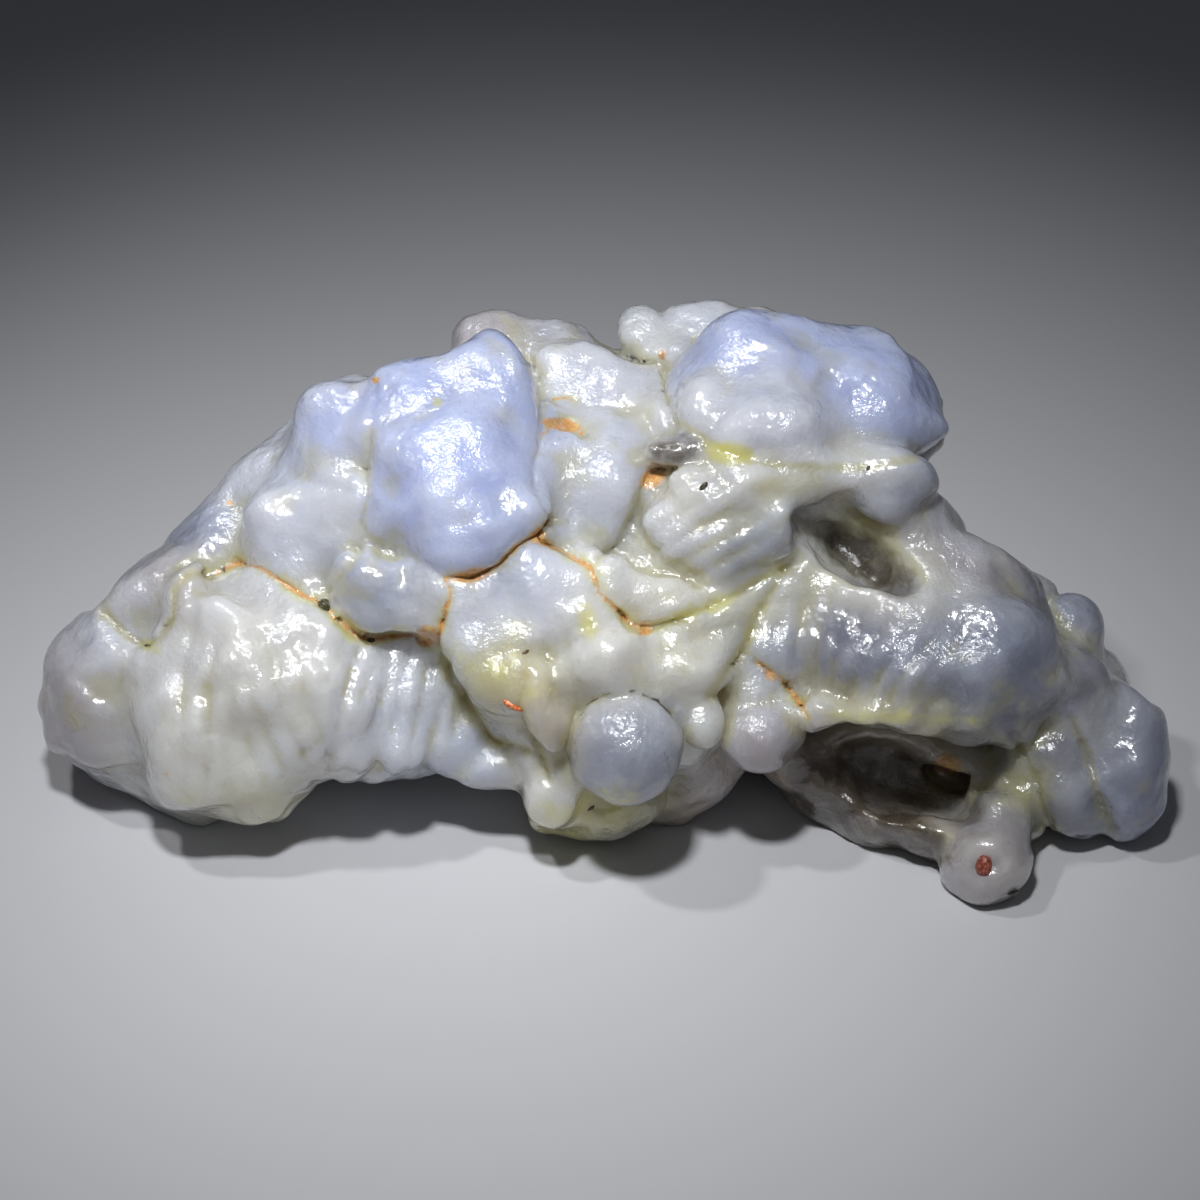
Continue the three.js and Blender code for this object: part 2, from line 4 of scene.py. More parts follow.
import bpy
import numpy as np
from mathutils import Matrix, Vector


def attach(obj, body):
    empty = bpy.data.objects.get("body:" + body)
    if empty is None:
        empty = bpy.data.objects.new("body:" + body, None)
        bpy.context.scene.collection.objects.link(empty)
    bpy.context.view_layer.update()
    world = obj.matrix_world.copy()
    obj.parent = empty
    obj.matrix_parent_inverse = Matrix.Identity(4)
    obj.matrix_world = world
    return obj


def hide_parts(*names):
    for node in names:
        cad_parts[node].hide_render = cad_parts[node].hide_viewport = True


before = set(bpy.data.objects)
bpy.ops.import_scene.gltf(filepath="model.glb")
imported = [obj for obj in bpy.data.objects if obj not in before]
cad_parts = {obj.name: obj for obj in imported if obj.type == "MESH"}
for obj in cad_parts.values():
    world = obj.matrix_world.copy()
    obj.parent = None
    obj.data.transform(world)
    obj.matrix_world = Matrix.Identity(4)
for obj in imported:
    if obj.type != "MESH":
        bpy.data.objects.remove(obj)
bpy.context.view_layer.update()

# The stone.
# One nodule of chalcedony, grown as lobes that melt into each other and polished by desert wind.
# It is one skin over stretched balls, laid out in millimetres as the face looks from the front.
MM = 0.001
FACE_TILT = math.radians(35)
EYE_DISTANCE = 130.0
ACROSS = np.array([1.0, 0.0, 0.0])
UP = np.array([0.0, math.sin(FACE_TILT), math.cos(FACE_TILT)])
TOWARDS = np.array([0.0, -math.cos(FACE_TILT), math.sin(FACE_TILT)])
TABLE_Z = -7.4
SEAT = np.array([0.028, -0.0994, 7.4])
WAVE_HEIGHT = 0.12
WAVE_LENGTH = 5.5
RIPPLE_HEIGHT = 0.09
RIPPLE_LENGTH = 2.4
MASS_SINK = 0.4
MASS_BLEND = 1.0
LOBE_REACH = 1.9
OPEN_AIR = 3.0

# Colours of the chalcedony, from bluish milk to the yellow-green of the iron-stained underside. Slate,
# smoke and brown are partly painted shade.
TINTS = {
    "milk": (0.44, 0.50, 0.76),
    "glass": (0.25, 0.27, 0.335),
    "pale": (0.60, 0.62, 0.71),
    "cream": (0.66, 0.65, 0.62),
    # Slate: the grey of the translucent band, darkened further as painted shade for the lobes on the
    # dim right side.
    "slate": (0.20, 0.225, 0.32),
    "rose": (0.30, 0.27, 0.29),
    "grey": (0.28, 0.31, 0.42),
    # Smoke: the grey of the translucent band, darkened further as painted shade for the right side and
    # under the hem.
    "smoke": (0.12, 0.125, 0.185),
    "beige": (0.37, 0.345, 0.36),
    "olive": (0.50, 0.46, 0.20),
    "blush": (0.46, 0.36, 0.30),
    # Brown: the wall of the cave, its own brown darkened as painted shade.
    "brown": (0.20, 0.15, 0.11),
}

# Masses under the face: name, across, up, half width, half height, half depth, roll, towards.
FACE_MASSES = [
    ("left", -12.6, -2.4, 8.2, 5.4, 6.0, 18, 0.0),
    ("middle_left", -5.6, 2.6, 7.6, 7.4, 7.0, 10, 0.0),
    ("middle_right", 5.6, 4.4, 6.6, 5.8, 6.6, 0, -0.4),
    ("middle_low", -0.4, -2.6, 7.0, 5.6, 7.2, 0, 0.0),
    ("right", 12.4, -0.6, 8.2, 3.2, 6.0, -28, 0.8),
    ("right_end", 19.2, -4.8, 2.7, 3.8, 4.4, 8, -0.3),
]

# Masses behind the face: name, x, y, z, half sizes along x, y, z.
BACK_MASSES = [
    ("back_middle", -1.0, 3.2, -0.5, 12.5, 6.3, 6.9),
    ("back_left", -12.6, 0.8, -3.0, 8.0, 5.8, 4.2),
    ("back_right", 12.4, 2.0, -4.0, 8.0, 5.2, 3.4),
]

# Lobes of the face: name, across, up, half width, half height, half depth, roll, how proud,
# how softly it blends into its neighbours, tint.
FACE_LOBES = [
    ("left_end", -19.7, -3.9, 2.6, 3.4, 3.6, 0, 0.3, 0.9, "beige"),
    ("left_end_top", -18.9, -2.0, 1.9, 1.8, 2.4, 30, 0.2, 0.7, "pale"),
    ("left_rim", -17.0, -7.4, 2.9, 1.3, 2.0, -22, -0.3, 0.54, "cream"),
    ("left_low", -14.6, -5.7, 3.4, 3.2, 3.0, 0, 0.75, 1.0, "cream"),
    ("left_fold", -16.9, -4.6, 1.5, 3.4, 1.8, 4, 0.55, 0.8, "cream"),
    ("left_fold_2", -15.6, -4.4, 1.1, 2.8, 1.6, 8, 0.65, 0.8, "cream"),
    ("left_swell", -11.6, -3.2, 2.9, 3.9, 2.8, 14, 0.85, 1.0, "cream"),
    ("left_dimple_lobe", -13.6, -6.9, 1.9, 1.8, 1.6, 0, 0.8, 0.67, "olive"),
    ("curl_head", -15.25, -0.8, 0.9, 0.9, 1.0, 0, 0.7, 0.6, "pale"),
    ("curl_tail", -14.2, -1.9, 0.6, 1.2, 0.9, 20, 0.65, 0.8, "cream"),
    ("brown_slip", -16.4, -0.1, 1.0, 1.6, 1.2, -10, 0.6, 0.6, "beige"),
    ("wedge", -17.7, 0.1, 2.5, 1.7, 2.0, 32, 0.35, 0.6, "beige"),
    ("shoulder", -15.1, 2.1, 3.5, 1.7, 2.6, 42, 0.7, 0.8, "grey"),
    ("slope", -12.7, 4.5, 4.0, 1.9, 2.6, 47, 0.75, 0.9, "pale"),
    ("gloss_left", -13.0, 3.9, 2.0, 1.6, 1.8, 30, 0.6, 0.9, "pale"),
    ("gloss", -11.5, 2.8, 2.8, 3.0, 2.2, -8, 0.9, 1.0, "pale"),
    ("brow", -10.5, 6.2, 2.0, 2.2, 2.0, 0, 0.75, 0.9, "milk"),
    ("brow_top", -10.3, 7.5, 2.0, 1.3, 1.8, 35, 0.6, 0.8, "pale"),
    ("ridge_back", -3.1, 9.85, 3.0, 1.7, 2.4, -5, 0.3, 1.0, "beige"),
    ("ridge_right", -1.3, 9.9, 1.5, 1.2, 1.6, -20, 0.0, 0.54, "beige"),
    ("ridge_dip", 0.8, 9.0, 1.6, 1.1, 1.6, -15, 0.0, 0.54, "grey"),
    ("tooth_left", -7.4, 7.5, 2.7, 2.2, 2.2, 30, 1.0, 1.0, "milk"),
    ("tooth_top", -4.2, 7.6, 2.1, 3.0, 2.2, 6, 1.0, 1.0, "milk"),
    ("tooth", -5.8, 4.4, 3.5, 3.4, 2.8, 12, 1.05, 1.0, "milk"),
    ("tooth_root", -5.2, 2.2, 2.4, 1.9, 1.9, 10, 1.0, 1.0, "milk"),
    ("tooth_corner", -2.8, 3.6, 0.95, 1.1, 1.0, 0, 0.9, 0.9, "milk"),
    ("middle_top", 0.4, 7.5, 2.7, 2.5, 2.4, 0, 0.9, 0.8, "pale"),
    ("middle_left_top", -1.4, 8.6, 1.5, 2.0, 1.6, 0, 0.7, 0.8, "pale"),
    ("middle_mid", -0.1, 4.2, 2.5, 3.1, 2.4, -14, 0.85, 0.8, "pale"),
    ("eye", -1.5, 6.25, 1.0, 0.75, 0.5, 5, 0.3, 0.5, "milk"),
    ("pebble", -8.3, 0.5, 2.7, 1.9, 1.9, -8, 0.75, 0.25, "grey"),
    ("pebble_right", -6.3, 0.5, 1.3, 1.3, 1.2, 0, 0.5, 0.41, "cream"),
    ("pebble_foot", -6.8, -0.8, 1.2, 0.7, 0.9, 0, 0.4, 0.41, "cream"),
    ("row_1", -9.9, -4.0, 1.4, 2.7, 1.6, -6, 1.0, 0.35, "pale"),
    ("row_2", -8.2, -3.9, 1.5, 2.9, 1.7, 4, 1.1, 0.35, "pale"),
    ("row_3", -6.6, -3.6, 1.4, 2.4, 1.5, -20, 0.95, 0.35, "pale"),
    ("row_low", -8.5, -6.0, 2.5, 1.3, 1.8, 3, 0.8, 0.67, "pale"),
    ("row_corner", -10.4, -6.4, 1.2, 0.8, 1.0, 0, 0.7, 0.47, "cream"),
    ("row_end", -5.7, -5.1, 1.7, 1.9, 1.6, 0, 0.5, 0.54, "grey"),
    ("row_tip", -4.1, -6.5, 1.6, 1.15, 1.4, -5, 0.4, 0.47, "grey"),
    ("apron", -2.9, -3.1, 3.0, 1.9, 2.2, 0, 0.8, 0.67, "olive"),
    ("apron_right", 0.3, -2.3, 2.1, 1.9, 1.8, 0, 0.7, 0.54, "cream"),
    ("nose_left", -4.7, -0.8, 2.0, 2.4, 1.9, 14, 1.1, 0.8, "pale"),
    ("nose", -2.2, 0.3, 2.3, 2.6, 2.2, 0, 1.5, 0.9, "pale"),
    ("nose_right", -0.5, 0.0, 1.5, 2.1, 1.7, -28, 1.0, 0.9, "cream"),
    ("nose_bump", -4.1, -1.15, 0.75, 0.7, 0.8, 0, 0.95, 0.6, "cream"),
    ("keel", -2.3, -4.3, 0.95, 2.0, 1.1, 24, 0.95, 0.5, "blush"),
    ("bubble_collar", 1.4, -4.3, 2.6, 1.9, 1.6, 0, 0.35, 0.4, "cream"),
    ("bubble", 1.0, -5.85, 2.3, 2.35, 2.3, 0, 2.6, 0.08, "glass"),
    ("foot_low", -0.3, -7.75, 2.9, 1.9, 2.2, 0, 1.0, 0.8, "olive"),
    ("foot_left", -1.7, -6.8, 1.3, 2.3, 1.5, 0, 0.75, 1.0, "cream"),
    ("lip", 3.3, -7.3, 2.6, 1.4, 1.7, 36, 0.45, 0.34, "blush"),
    ("lip_right", 4.6, -6.4, 1.9, 1.2, 1.4, 40, 0.2, 0.47, "blush"),
    ("bead", 4.1, -4.9, 0.85, 1.1, 0.9, 0, 1.5, 0.2, "cream"),
    ("flow_left", 7.0, -0.6, 2.1, 1.9, 1.8, 0, 1.0, 0.9, "smoke"),
    ("flow_1", 8.4, -2.4, 2.9, 2.5, 2.0, -5, 0.85, 0.9, "smoke"),
    ("flow_2", 10.4, -1.9, 2.4, 2.6, 2.2, 0, 0.95, 0.9, "smoke"),
    ("flow_3", 13.0, -2.6, 3.4, 2.5, 2.2, 0, 1.0, 1.0, "slate"),
    ("flow_4", 15.6, -2.0, 2.5, 2.2, 2.0, -15, 0.8, 1.0, "slate"),
    ("flow_end", 15.8, -3.9, 2.3, 1.6, 1.6, 0, 0.8, 0.8, "smoke"),
    ("arm", 14.2, 1.0, 2.9, 1.7, 1.8, -38, 0.5, 0.9, "beige"),
    ("arm_top", 13.2, 2.4, 1.5, 1.5, 1.6, -50, 0.5, 0.9, "slate"),
    ("arm_right", 16.1, 0.1, 2.3, 1.4, 1.7, -30, 0.2, 0.8, "smoke"),
    ("knuckle_1", 17.1, 0.25, 0.85, 0.85, 1.0, 0, 0.2, 0.4, "smoke"),
    ("knuckle_2", 18.8, -1.25, 1.45, 1.45, 1.4, 0, 0.7, 0.4, "slate"),
    ("knuckle_3", 18.6, -3.4, 1.75, 1.6, 1.6, 0, 0.4, 1.0, "smoke"),
    ("right_end", 20.7, -6.3, 2.0, 3.4, 2.2, 10, 0.9, 0.6, "slate"),
    ("right_bead", 17.6, -6.2, 1.6, 1.8, 1.6, 0, 1.1, 0.6, "smoke"),
    ("right_low", 19.0, -7.9, 1.5, 1.6, 1.5, 0, 1.3, 0.5, "smoke"),
    ("cap_1", 1.65, 10.6, 1.05, 0.95, 1.2, 0, 0.8, 0.41, "pale"),
    ("cap_2", 4.0, 10.7, 1.7, 1.4, 1.6, 0, 1.0, 0.41, "pale"),
    ("cap_root", 3.0, 9.6, 1.8, 1.2, 1.6, 0, 0.3, 0.54, "cream"),
    ("loaf_left", 5.8, 8.7, 2.6, 2.7, 2.2, 0, 0.75, 1.0, "milk"),
    ("loaf_top_1", 6.4, 10.5, 1.4, 1.1, 1.4, 0, 0.4, 0.7, "beige"),
    ("loaf_top_2", 8.5, 9.9, 1.5, 1.1, 1.4, -5, 0.5, 0.7, "grey"),
    ("loaf_top_3", 10.7, 9.3, 1.5, 1.1, 1.4, -25, 0.6, 0.7, "beige"),
    ("loaf", 8.9, 8.0, 5.1, 3.05, 3.0, -12, 1.25, 1.0, "milk"),
    ("loaf_nose", 11.9, 7.0, 1.9, 1.9, 1.7, 0, 1.0, 0.9, "beige"),
    ("loaf_under", 6.9, 6.9, 2.4, 1.8, 1.6, 0, 1.2, 1.0, "pale"),
    ("loaf_tab", 4.0, 7.6, 1.0, 1.3, 1.1, 0, 0.8, 0.6, "pale"),
    ("neck", 9.4, 5.1, 2.9, 1.3, 1.7, 0, 1.1, 0.9, "cream"),
    ("eaves", 11.6, 3.0, 2.6, 1.0, 1.3, -30, 0.5, 0.6, "olive"),
    ("crystal", 3.1, 6.0, 1.45, 0.85, 0.8, 10, 0.3, 0.4, "smoke"),
    ("crystal_low", 3.8, 4.8, 1.1, 0.8, 0.9, 0, 0.5, 0.3, "cream"),
    ("finger_back", 5.7, 4.4, 2.7, 1.2, 1.4, 16, 0.6, 0.6, "cream"),
    ("finger_1", 6.8, 2.8, 1.25, 1.9, 1.2, -38, 0.9, 0.45, "grey"),
    ("finger_2", 3.6, 2.9, 1.7, 1.4, 1.3, 20, 0.75, 0.6, "cream"),
    ("finger_3", 5.1, 2.2, 1.3, 1.6, 1.2, -30, 0.8, 0.6, "grey"),
    ("finger_4", 2.5, 1.2, 1.8, 1.3, 1.3, 10, 0.8, 0.6, "beige"),
    ("finger_5", 2.3, 0.0, 1.8, 1.0, 1.2, -12, 0.9, 0.5, "cream"),
    ("finger_6", 5.0, 0.7, 2.4, 1.2, 1.3, 16, 0.8, 0.6, "cream"),
    ("lap_1", 4.2, -1.0, 2.4, 1.4, 1.4, 16, 0.7, 0.9, "olive"),
    ("lap_2", 3.2, -2.5, 2.2, 1.5, 1.5, 0, 0.8, 0.7, "cream"),
    ("left_mid", -14.1, -3.4, 1.9, 2.0, 1.6, 0, 0.75, 0.9, "cream"),
]

# Lobes at a depth of their own, which are the hem, the wall of the cave, the toe and its webs, the
# ear, the bridge and the drop: name, across, up, towards, half width, half height, half depth,
# roll, blend, tint.
UNDER_LOBES = [
    ("hem_2", 10.8, -4.6, 5.5, 0.95, 0.75, 1.3, 0, 0.4, "olive"),
    ("hem_3", 12.3, -4.8, 5.6, 1.0, 0.75, 1.3, 0, 0.4, "beige"),
    ("hem_4", 13.5, -4.85, 5.4, 0.8, 0.7, 1.2, 0, 0.4, "olive"),
    ("hem_5", 15.0, -4.8, 4.9, 1.0, 0.75, 1.3, 0, 0.4, "smoke"),
    ("hem_6", 16.4, -5.1, 4.2, 0.9, 0.8, 1.3, 0, 0.4, "smoke"),
    ("wall", 11.4, -6.8, -0.6, 5.4, 2.9, 3.4, -22, 0.8, "brown"),
    ("toe", 15.4, -10.35, 3.9, 1.8, 1.75, 1.8, 0, 0.3, "beige"),
    ("toe_neck", 15.8, -8.8, 2.9, 1.7, 1.3, 1.7, 0, 0.6, "smoke"),
    ("wall_1", 13.3, -9.1, 2.2, 1.8, 1.5, 1.9, -20, 0.7, "brown"),
    ("wall_2", 11.2, -8.2, 1.2, 2.0, 1.6, 2.1, -25, 0.7, "brown"),
    ("wall_3", 9.2, -7.1, 0.2, 2.0, 1.5, 2.2, -25, 0.7, "brown"),
    ("wall_4", 7.4, -6.0, 0.3, 1.8, 1.5, 2.2, -25, 0.7, "brown"),
    ("wall_5", 14.8, -6.4, -0.6, 2.2, 1.7, 2.2, 0, 0.7, "brown"),
    ("wall_6", 12.0, -5.5, -1.2, 2.4, 1.9, 2.0, 0, 0.7, "brown"),
    ("ear_root", 12.7, 3.2, 3.2, 1.4, 1.3, 1.6, -40, 0.6, "beige"),
    ("ear", 11.95, 4.35, 4.5, 1.5, 1.45, 1.3, 0, 0.45, "grey"),
    ("toe_back", 16.6, -8.6, 1.7, 1.5, 1.3, 1.5, 0, 0.6, "olive"),
    ("web_1", 18.4, -7.5, 1.9, 1.5, 1.8, 1.6, 0, 0.6, "grey"),
    ("web_2", 17.0, -7.0, 1.7, 1.5, 1.5, 1.6, 0, 0.6, "olive"),
    ("web_3", 14.3, -8.1, 1.2, 1.5, 1.2, 1.5, 0, 0.6, "brown"),
    ("hem_1", 9.0, -4.45, 4.9, 1.3, 0.7, 1.2, -8, 0.6, "beige"),
    ("bridge_1", 6.7, 0.3, 3.1, 2.2, 2.1, 2.2, 0, 0.9, "cream"),
    ("bridge_2", 6.4, -2.0, 3.3, 2.1, 2.0, 2.2, 0, 0.9, "grey"),
    ("drop_neck", 5.9, -3.6, 3.9, 1.3, 1.6, 1.6, 10, 0.5, "cream"),
    ("drop_side", 7.4, -4.4, 4.0, 1.0, 1.3, 1.2, 0, 0.35, "beige"),
    ("drop", 6.35, -5.4, 4.4, 1.55, 1.5, 1.55, 0, 0.3, "rose"),
    ("wall_7", 13.6, -7.9, -0.9, 2.9, 2.2, 2.1, -10, 0.7, "brown"),
    ("wall_8", 11.0, -7.4, -1.4, 3.4, 2.4, 2.2, -20, 0.7, "brown"),
]

# Lobes that carry the stone: name, x, y, z, half sizes, blend, tint.
REST_LOBES = [
    ("rest_left", -13.4, -0.6, -5.3, 3.6, 3.3, 2.7, 0.3, "cream"),
    ("rest_back", -5.4, 6.2, -5.4, 3.2, 2.6, 2.5, 0.3, "grey"),
    ("rest_right", 12.6, 5.2, -5.2, 3.4, 2.7, 2.6, 0.3, "beige"),
    ("rest_middle", 4.2, 2.0, -5.4, 3.4, 3.2, 1.9, 0.3, "grey"),
]

# Hollows: name, across, up, towards, half width, half height, half depth, roll, blend.
HOLLOWS = [
    ("cleft", 10.4, 2.0, 8.0, 3.3, 1.4, 5.2, -34, 0.5),
    ("hollow", 12.0, -7.2, 4.5, 3.8, 1.8, 3.6, -18, 0.5),
    ("toe_dimple", 15.3, -10.6, 5.95, 0.85, 0.85, 0.55, 0, 0.3),
    ("hollow_pit", 13.9, -7.1, 1.0, 1.1, 0.8, 1.3, 0, 0.3),
]

# Upper outline of the face in the front view. Lobes of the back stay under it.
TOP_LINE = np.array([
    (-22, -4.0), (-21, -1.6), (-18.7, 0.4), (-17, 1.8), (-14.7, 4.4), (-12, 7.0),
    (-10.4, 8.0), (-4.6, 10.8), (0.2, 9.5), (3.8, 11.2), (8.5, 10.2), (11.9, 8.6),
    (13, 4.2), (14.1, 2.5), (16.8, 0.6), (19.5, -1.0), (20.2, -3.2), (21.7, -4.6),
    (22.5, -7.0),
])

# Seams between lobes on the face: stain, depth, width, and the points they run through.
SEAMS = [
    ("rust", 0.45, 0.2, [
        (-15.5, 1.0), (-14.5, 1.5), (-13.6, 1.3), (-12.6, 0.65), (-11.9, 0.2), (-11.0, -0.2),
        (-10.5, -0.8), (-9.8, -1.4), (-9.1, -1.6), (-8.4, -1.45), (-7.4, -1.4), (-6.9, -1.7),
    ]),
    ("olive", 0.35, 0.18, [
        (-19.7, -0.6), (-18.9, -1.4), (-18.05, -1.85), (-17.5, -1.5), (-17.05, -0.7), (-17.0, 0.5),
        (-16.4, 1.1), (-15.5, 1.0),
    ]),
    ("none", 0.35, 0.2, [
        (-9.3, 5.2), (-9.3, 4.2), (-9.5, 3.1), (-9.3, 2.5), (-8.6, 2.0), (-7.6, 1.8),
        (-6.8, 1.3), (-6.2, 0.9),
    ]),
    ("rust", 0.4, 0.2, [
        (-6.2, 0.9), (-5.1, 0.9), (-4.0, 1.5), (-3.3, 2.2), (-2.6, 2.6), (-2.1, 3.2),
    ]),
    ("none", 0.3, 0.15, [
        (-2.1, 3.2), (-2.6, 4.2), (-2.8, 5.0), (-2.5, 6.2), (-2.35, 7.2), (-2.5, 8.9),
        (-3.0, 10.2),
    ]),
    ("rust", 0.4, 0.2, [
        (-2.4, 2.3), (-1.4, 1.9), (-0.4, 1.3), (0.0, 0.2), (0.6, -0.3), (1.3, -1.0),
        (1.9, -1.1),
    ]),
    ("rust", 0.35, 0.18, [
        (-6.2, 0.9), (-6.0, 0.2), (-6.3, -0.9), (-6.5, -1.7),
    ]),
    ("none", 0.15, 0.2, [
        (-12.5, 5.2), (-11.0, 4.6), (-9.7, 4.3), (-9.2, 5.2), (-9.1, 7.0), (-9.0, 8.5),
    ]),
    ("none", 0.25, 0.2, [
        (-9.5, 3.1), (-9.7, 1.8), (-10.4, 0.9), (-11.0, 0.0),
    ]),
    ("none", 0.25, 0.2, [
        (-9.7, -1.9), (-10.1, -3.6), (-10.6, -5.3), (-10.9, -6.7),
    ]),
    ("olive", 0.35, 0.25, [
        (-6.4, -1.8), (-6.0, -3.2), (-5.0, -4.6), (-4.3, -5.6), (-2.9, -6.0),
    ]),
    ("none", 0.35, 0.18, [
        (-0.4, 1.4), (0.7, 2.2), (1.5, 3.6), (1.6, 4.5), (2.1, 5.2), (3.0, 5.3),
    ]),
    ("olive", 0.12, 0.2, [
        (3.2, 7.1), (4.3, 6.4), (5.6, 5.7), (7.4, 5.3), (9.0, 5.3), (10.7, 5.3),
        (12.6, 5.7),
    ]),
    ("none", 0.35, 0.2, [
        (0.7, 9.9), (1.7, 9.5), (2.6, 9.5), (2.6, 8.3), (3.0, 7.0),
    ]),
    ("olive", 0.25, 0.18, [
        (1.9, -1.1), (3.4, -0.6), (4.8, -0.1), (6.2, 0.7), (7.4, 1.3),
    ]),
    ("olive", 0.3, 0.22, [
        (7.4, 1.3), (6.4, -0.4), (5.8, -1.9), (5.2, -2.6), (4.4, -3.8),
    ]),
    ("rust", 0.4, 0.18, [
        (6.2, -2.4), (6.9, -2.9), (7.3, -3.2), (7.9, -4.0), (8.3, -4.7),
    ]),
    ("olive", 0.3, 0.2, [
        (-3.0, -3.0), (-3.2, -4.2), (-2.6, -5.6), (-2.0, -7.2),
    ]),
    ("rust", 0.14, 0.13, [
        (-2.3, 6.6), (-1.9, 7.1), (-1.4, 7.25), (-0.9, 7.0), (-0.7, 6.6),
    ]),
    ("rust", 0.08, 0.1, [
        (-1.9, 8.0), (-1.45, 8.1), (-1.0, 8.0),
    ]),
    ("none", 0.3, 0.2, [
        (16.4, -5.2), (17.1, -6.3), (17.6, -7.6), (17.9, -9.0),
    ]),
    ("none", 0.3, 0.2, [
        (18.8, -4.6), (19.5, -6.2), (19.9, -7.8), (20.5, -9.3),
    ]),
    ("dark", 0.12, 0.07, [
        (2.84, -4.58), (2.29, -4.02), (1.58, -3.68), (0.8, -3.61), (0.05, -3.82), (-0.51, -4.19),
    ]),
]


NO_MASS = -9.0
MASS_SKIRT = 1.6


def oval(across, up, ca, cu, ra, ru, roll=0):
    """Squared distance from the middle of an oval in the view, in its own half sizes: nothing in
    the middle and one on its edge."""
    c = math.cos(math.radians(roll))
    s = math.sin(math.radians(roll))
    along = ((across - ca) * c + (up - cu) * s) / ra
    over = ((up - cu) * c - (across - ca) * s) / ru
    return along * along + over * over


def face_depth(across, up):
    """Front of the face masses at one place of the view: the greatest of their own depths there,
    each its middle depth and its half depth times the root of one less its oval. Past the edge a
    mass counts at its middle depth for a short way."""
    best = NO_MASS
    for _, ca, cu, ra, ru, rt, roll, towards in FACE_MASSES:
        q = oval(across, up, ca, cu, ra, ru, roll)
        if q < MASS_SKIRT:
            best = max(best, towards + rt * math.sqrt(max(0.0, 1 - q)))
    return best


# Lobes that are clean domes and don't sway.
ROUND = ["bubble", "drop", "knuckle_2", "bead"]


def view_ball(across, up, towards, half, roll, blend, sunk, tint, even=False):
    """A ball laid out in the front view, a little smaller the nearer it is to the eye."""
    near = (EYE_DISTANCE - towards) / EYE_DISTANCE
    c = math.cos(math.radians(roll))
    s = math.sin(math.radians(roll))
    centre = ACROSS * across * near + UP * up * near + TOWARDS * towards
    axes = np.array([ACROSS * c + UP * s, UP * c - ACROSS * s, TOWARDS])
    sizes = np.array([half[0] * near, half[1] * near, half[2]])
    return centre, axes, sizes, blend, sunk, TINTS[tint], even


def plain_ball(x, y, z, half, blend, sunk, tint):
    """A ball laid out in the stone's own axes."""
    return np.array([x, y, z]), np.eye(3), np.array(half), blend, sunk, TINTS[tint], False


LINE_FALL = 3


def line_at(across):
    """Height of the upper outline, falling three for one beyond its two ends."""
    first = TOP_LINE[0]
    last = TOP_LINE[-1]
    if across <= first[0]:
        return first[1] - LINE_FALL * (first[0] - across)
    if across >= last[0]:
        return last[1] - LINE_FALL * (across - last[0])
    return float(np.interp(across, TOP_LINE[:, 0], TOP_LINE[:, 1]))


def reach_of_back(middle, way):
    """Distance from the middle of the stone to the outside of the back masses in one direction:
    with o the start and e the way, both over the half sizes, the greater root of |o + te| = 1."""
    best = 0.0
    for _, x, y, z, rx, ry, rz in BACK_MASSES:
        half = np.array([rx, ry, rz])
        o = (middle - np.array([x, y, z])) / half
        e = way / half
        root = (o @ e) ** 2 - (e @ e) * (o @ o - 1)
        if root > 0:
            best = max(best, (-(o @ e) + math.sqrt(root)) / (e @ e))
    return best


# Lobes of the back: how many, how much of the way round they run, how the spiral is stretched
# along x, y and z, their sizes, how flat they are, and how each is slid out of the front view.
BACK_COUNT = 56
BACK_BLEND = 0.5
BACK_TINTS = ["cream", "grey", "beige", "milk", "grey"]
BACK_MIDDLE = np.array([0.0, 1.0, -1.5])
BACK_ROUND = 1.3
BACK_STRETCH = (2.2, 0.95, 0.75)
BACK_SMALLEST = 1.5
BACK_GROWTH = 1.5
BACK_FLATTEST = 0.75
BACK_FLAT_SPREAD = 0.35
BACK_LONG = 1.25
BACK_SUNK = 0.55
GOLDEN_ANGLE = math.pi * (3 - math.sqrt(5))
SIZE_STEP = 0.618034
FLAT_STEP = 0.414214
SLIDES = 24
SLIDE_DOWN = 0.35
SLIDE_IN = 0.985
TABLE_GAP = 0.45


def back_balls():
    """Lobes of the back and the underside, on a spiral of golden angles from the middle of the
    back, each slid down and in until the face hides it from the front. Sizes and flatness step
    through the fractions of multiples of one number each, so that neighbours differ."""
    balls = []
    for i in range(BACK_COUNT):
        c = 1 - BACK_ROUND * (i + 0.5) / BACK_COUNT
        s = math.sqrt(1 - c * c)
        turn = i * GOLDEN_ANGLE
        way = np.array([s * math.cos(turn), c, s * math.sin(turn)]) * BACK_STRETCH
        way = way / np.linalg.norm(way)
        size = BACK_SMALLEST + BACK_GROWTH * ((i * SIZE_STEP + 0.3) % 1) ** 1.5
        flat = BACK_FLATTEST + BACK_FLAT_SPREAD * ((i * FLAT_STEP) % 1)
        place = BACK_MIDDLE + way * (reach_of_back(BACK_MIDDLE, way) - size * BACK_SUNK)
        for _ in range(SLIDES):
            near = EYE_DISTANCE / (EYE_DISTANCE - place @ TOWARDS)
            across = place[0] * near
            line = min(line_at(across - size), line_at(across), line_at(across + size))
            if line - place @ UP * near - size >= 0:
                break
            place[2] -= SLIDE_DOWN
            place[0] *= SLIDE_IN
        place[2] = max(place[2], TABLE_Z + size * flat + TABLE_GAP)
        half = (size * BACK_LONG, size, size * flat)
        balls.append(plain_ball(*place, half, BACK_BLEND, 0.0, BACK_TINTS[i % len(BACK_TINTS)]))
    return balls


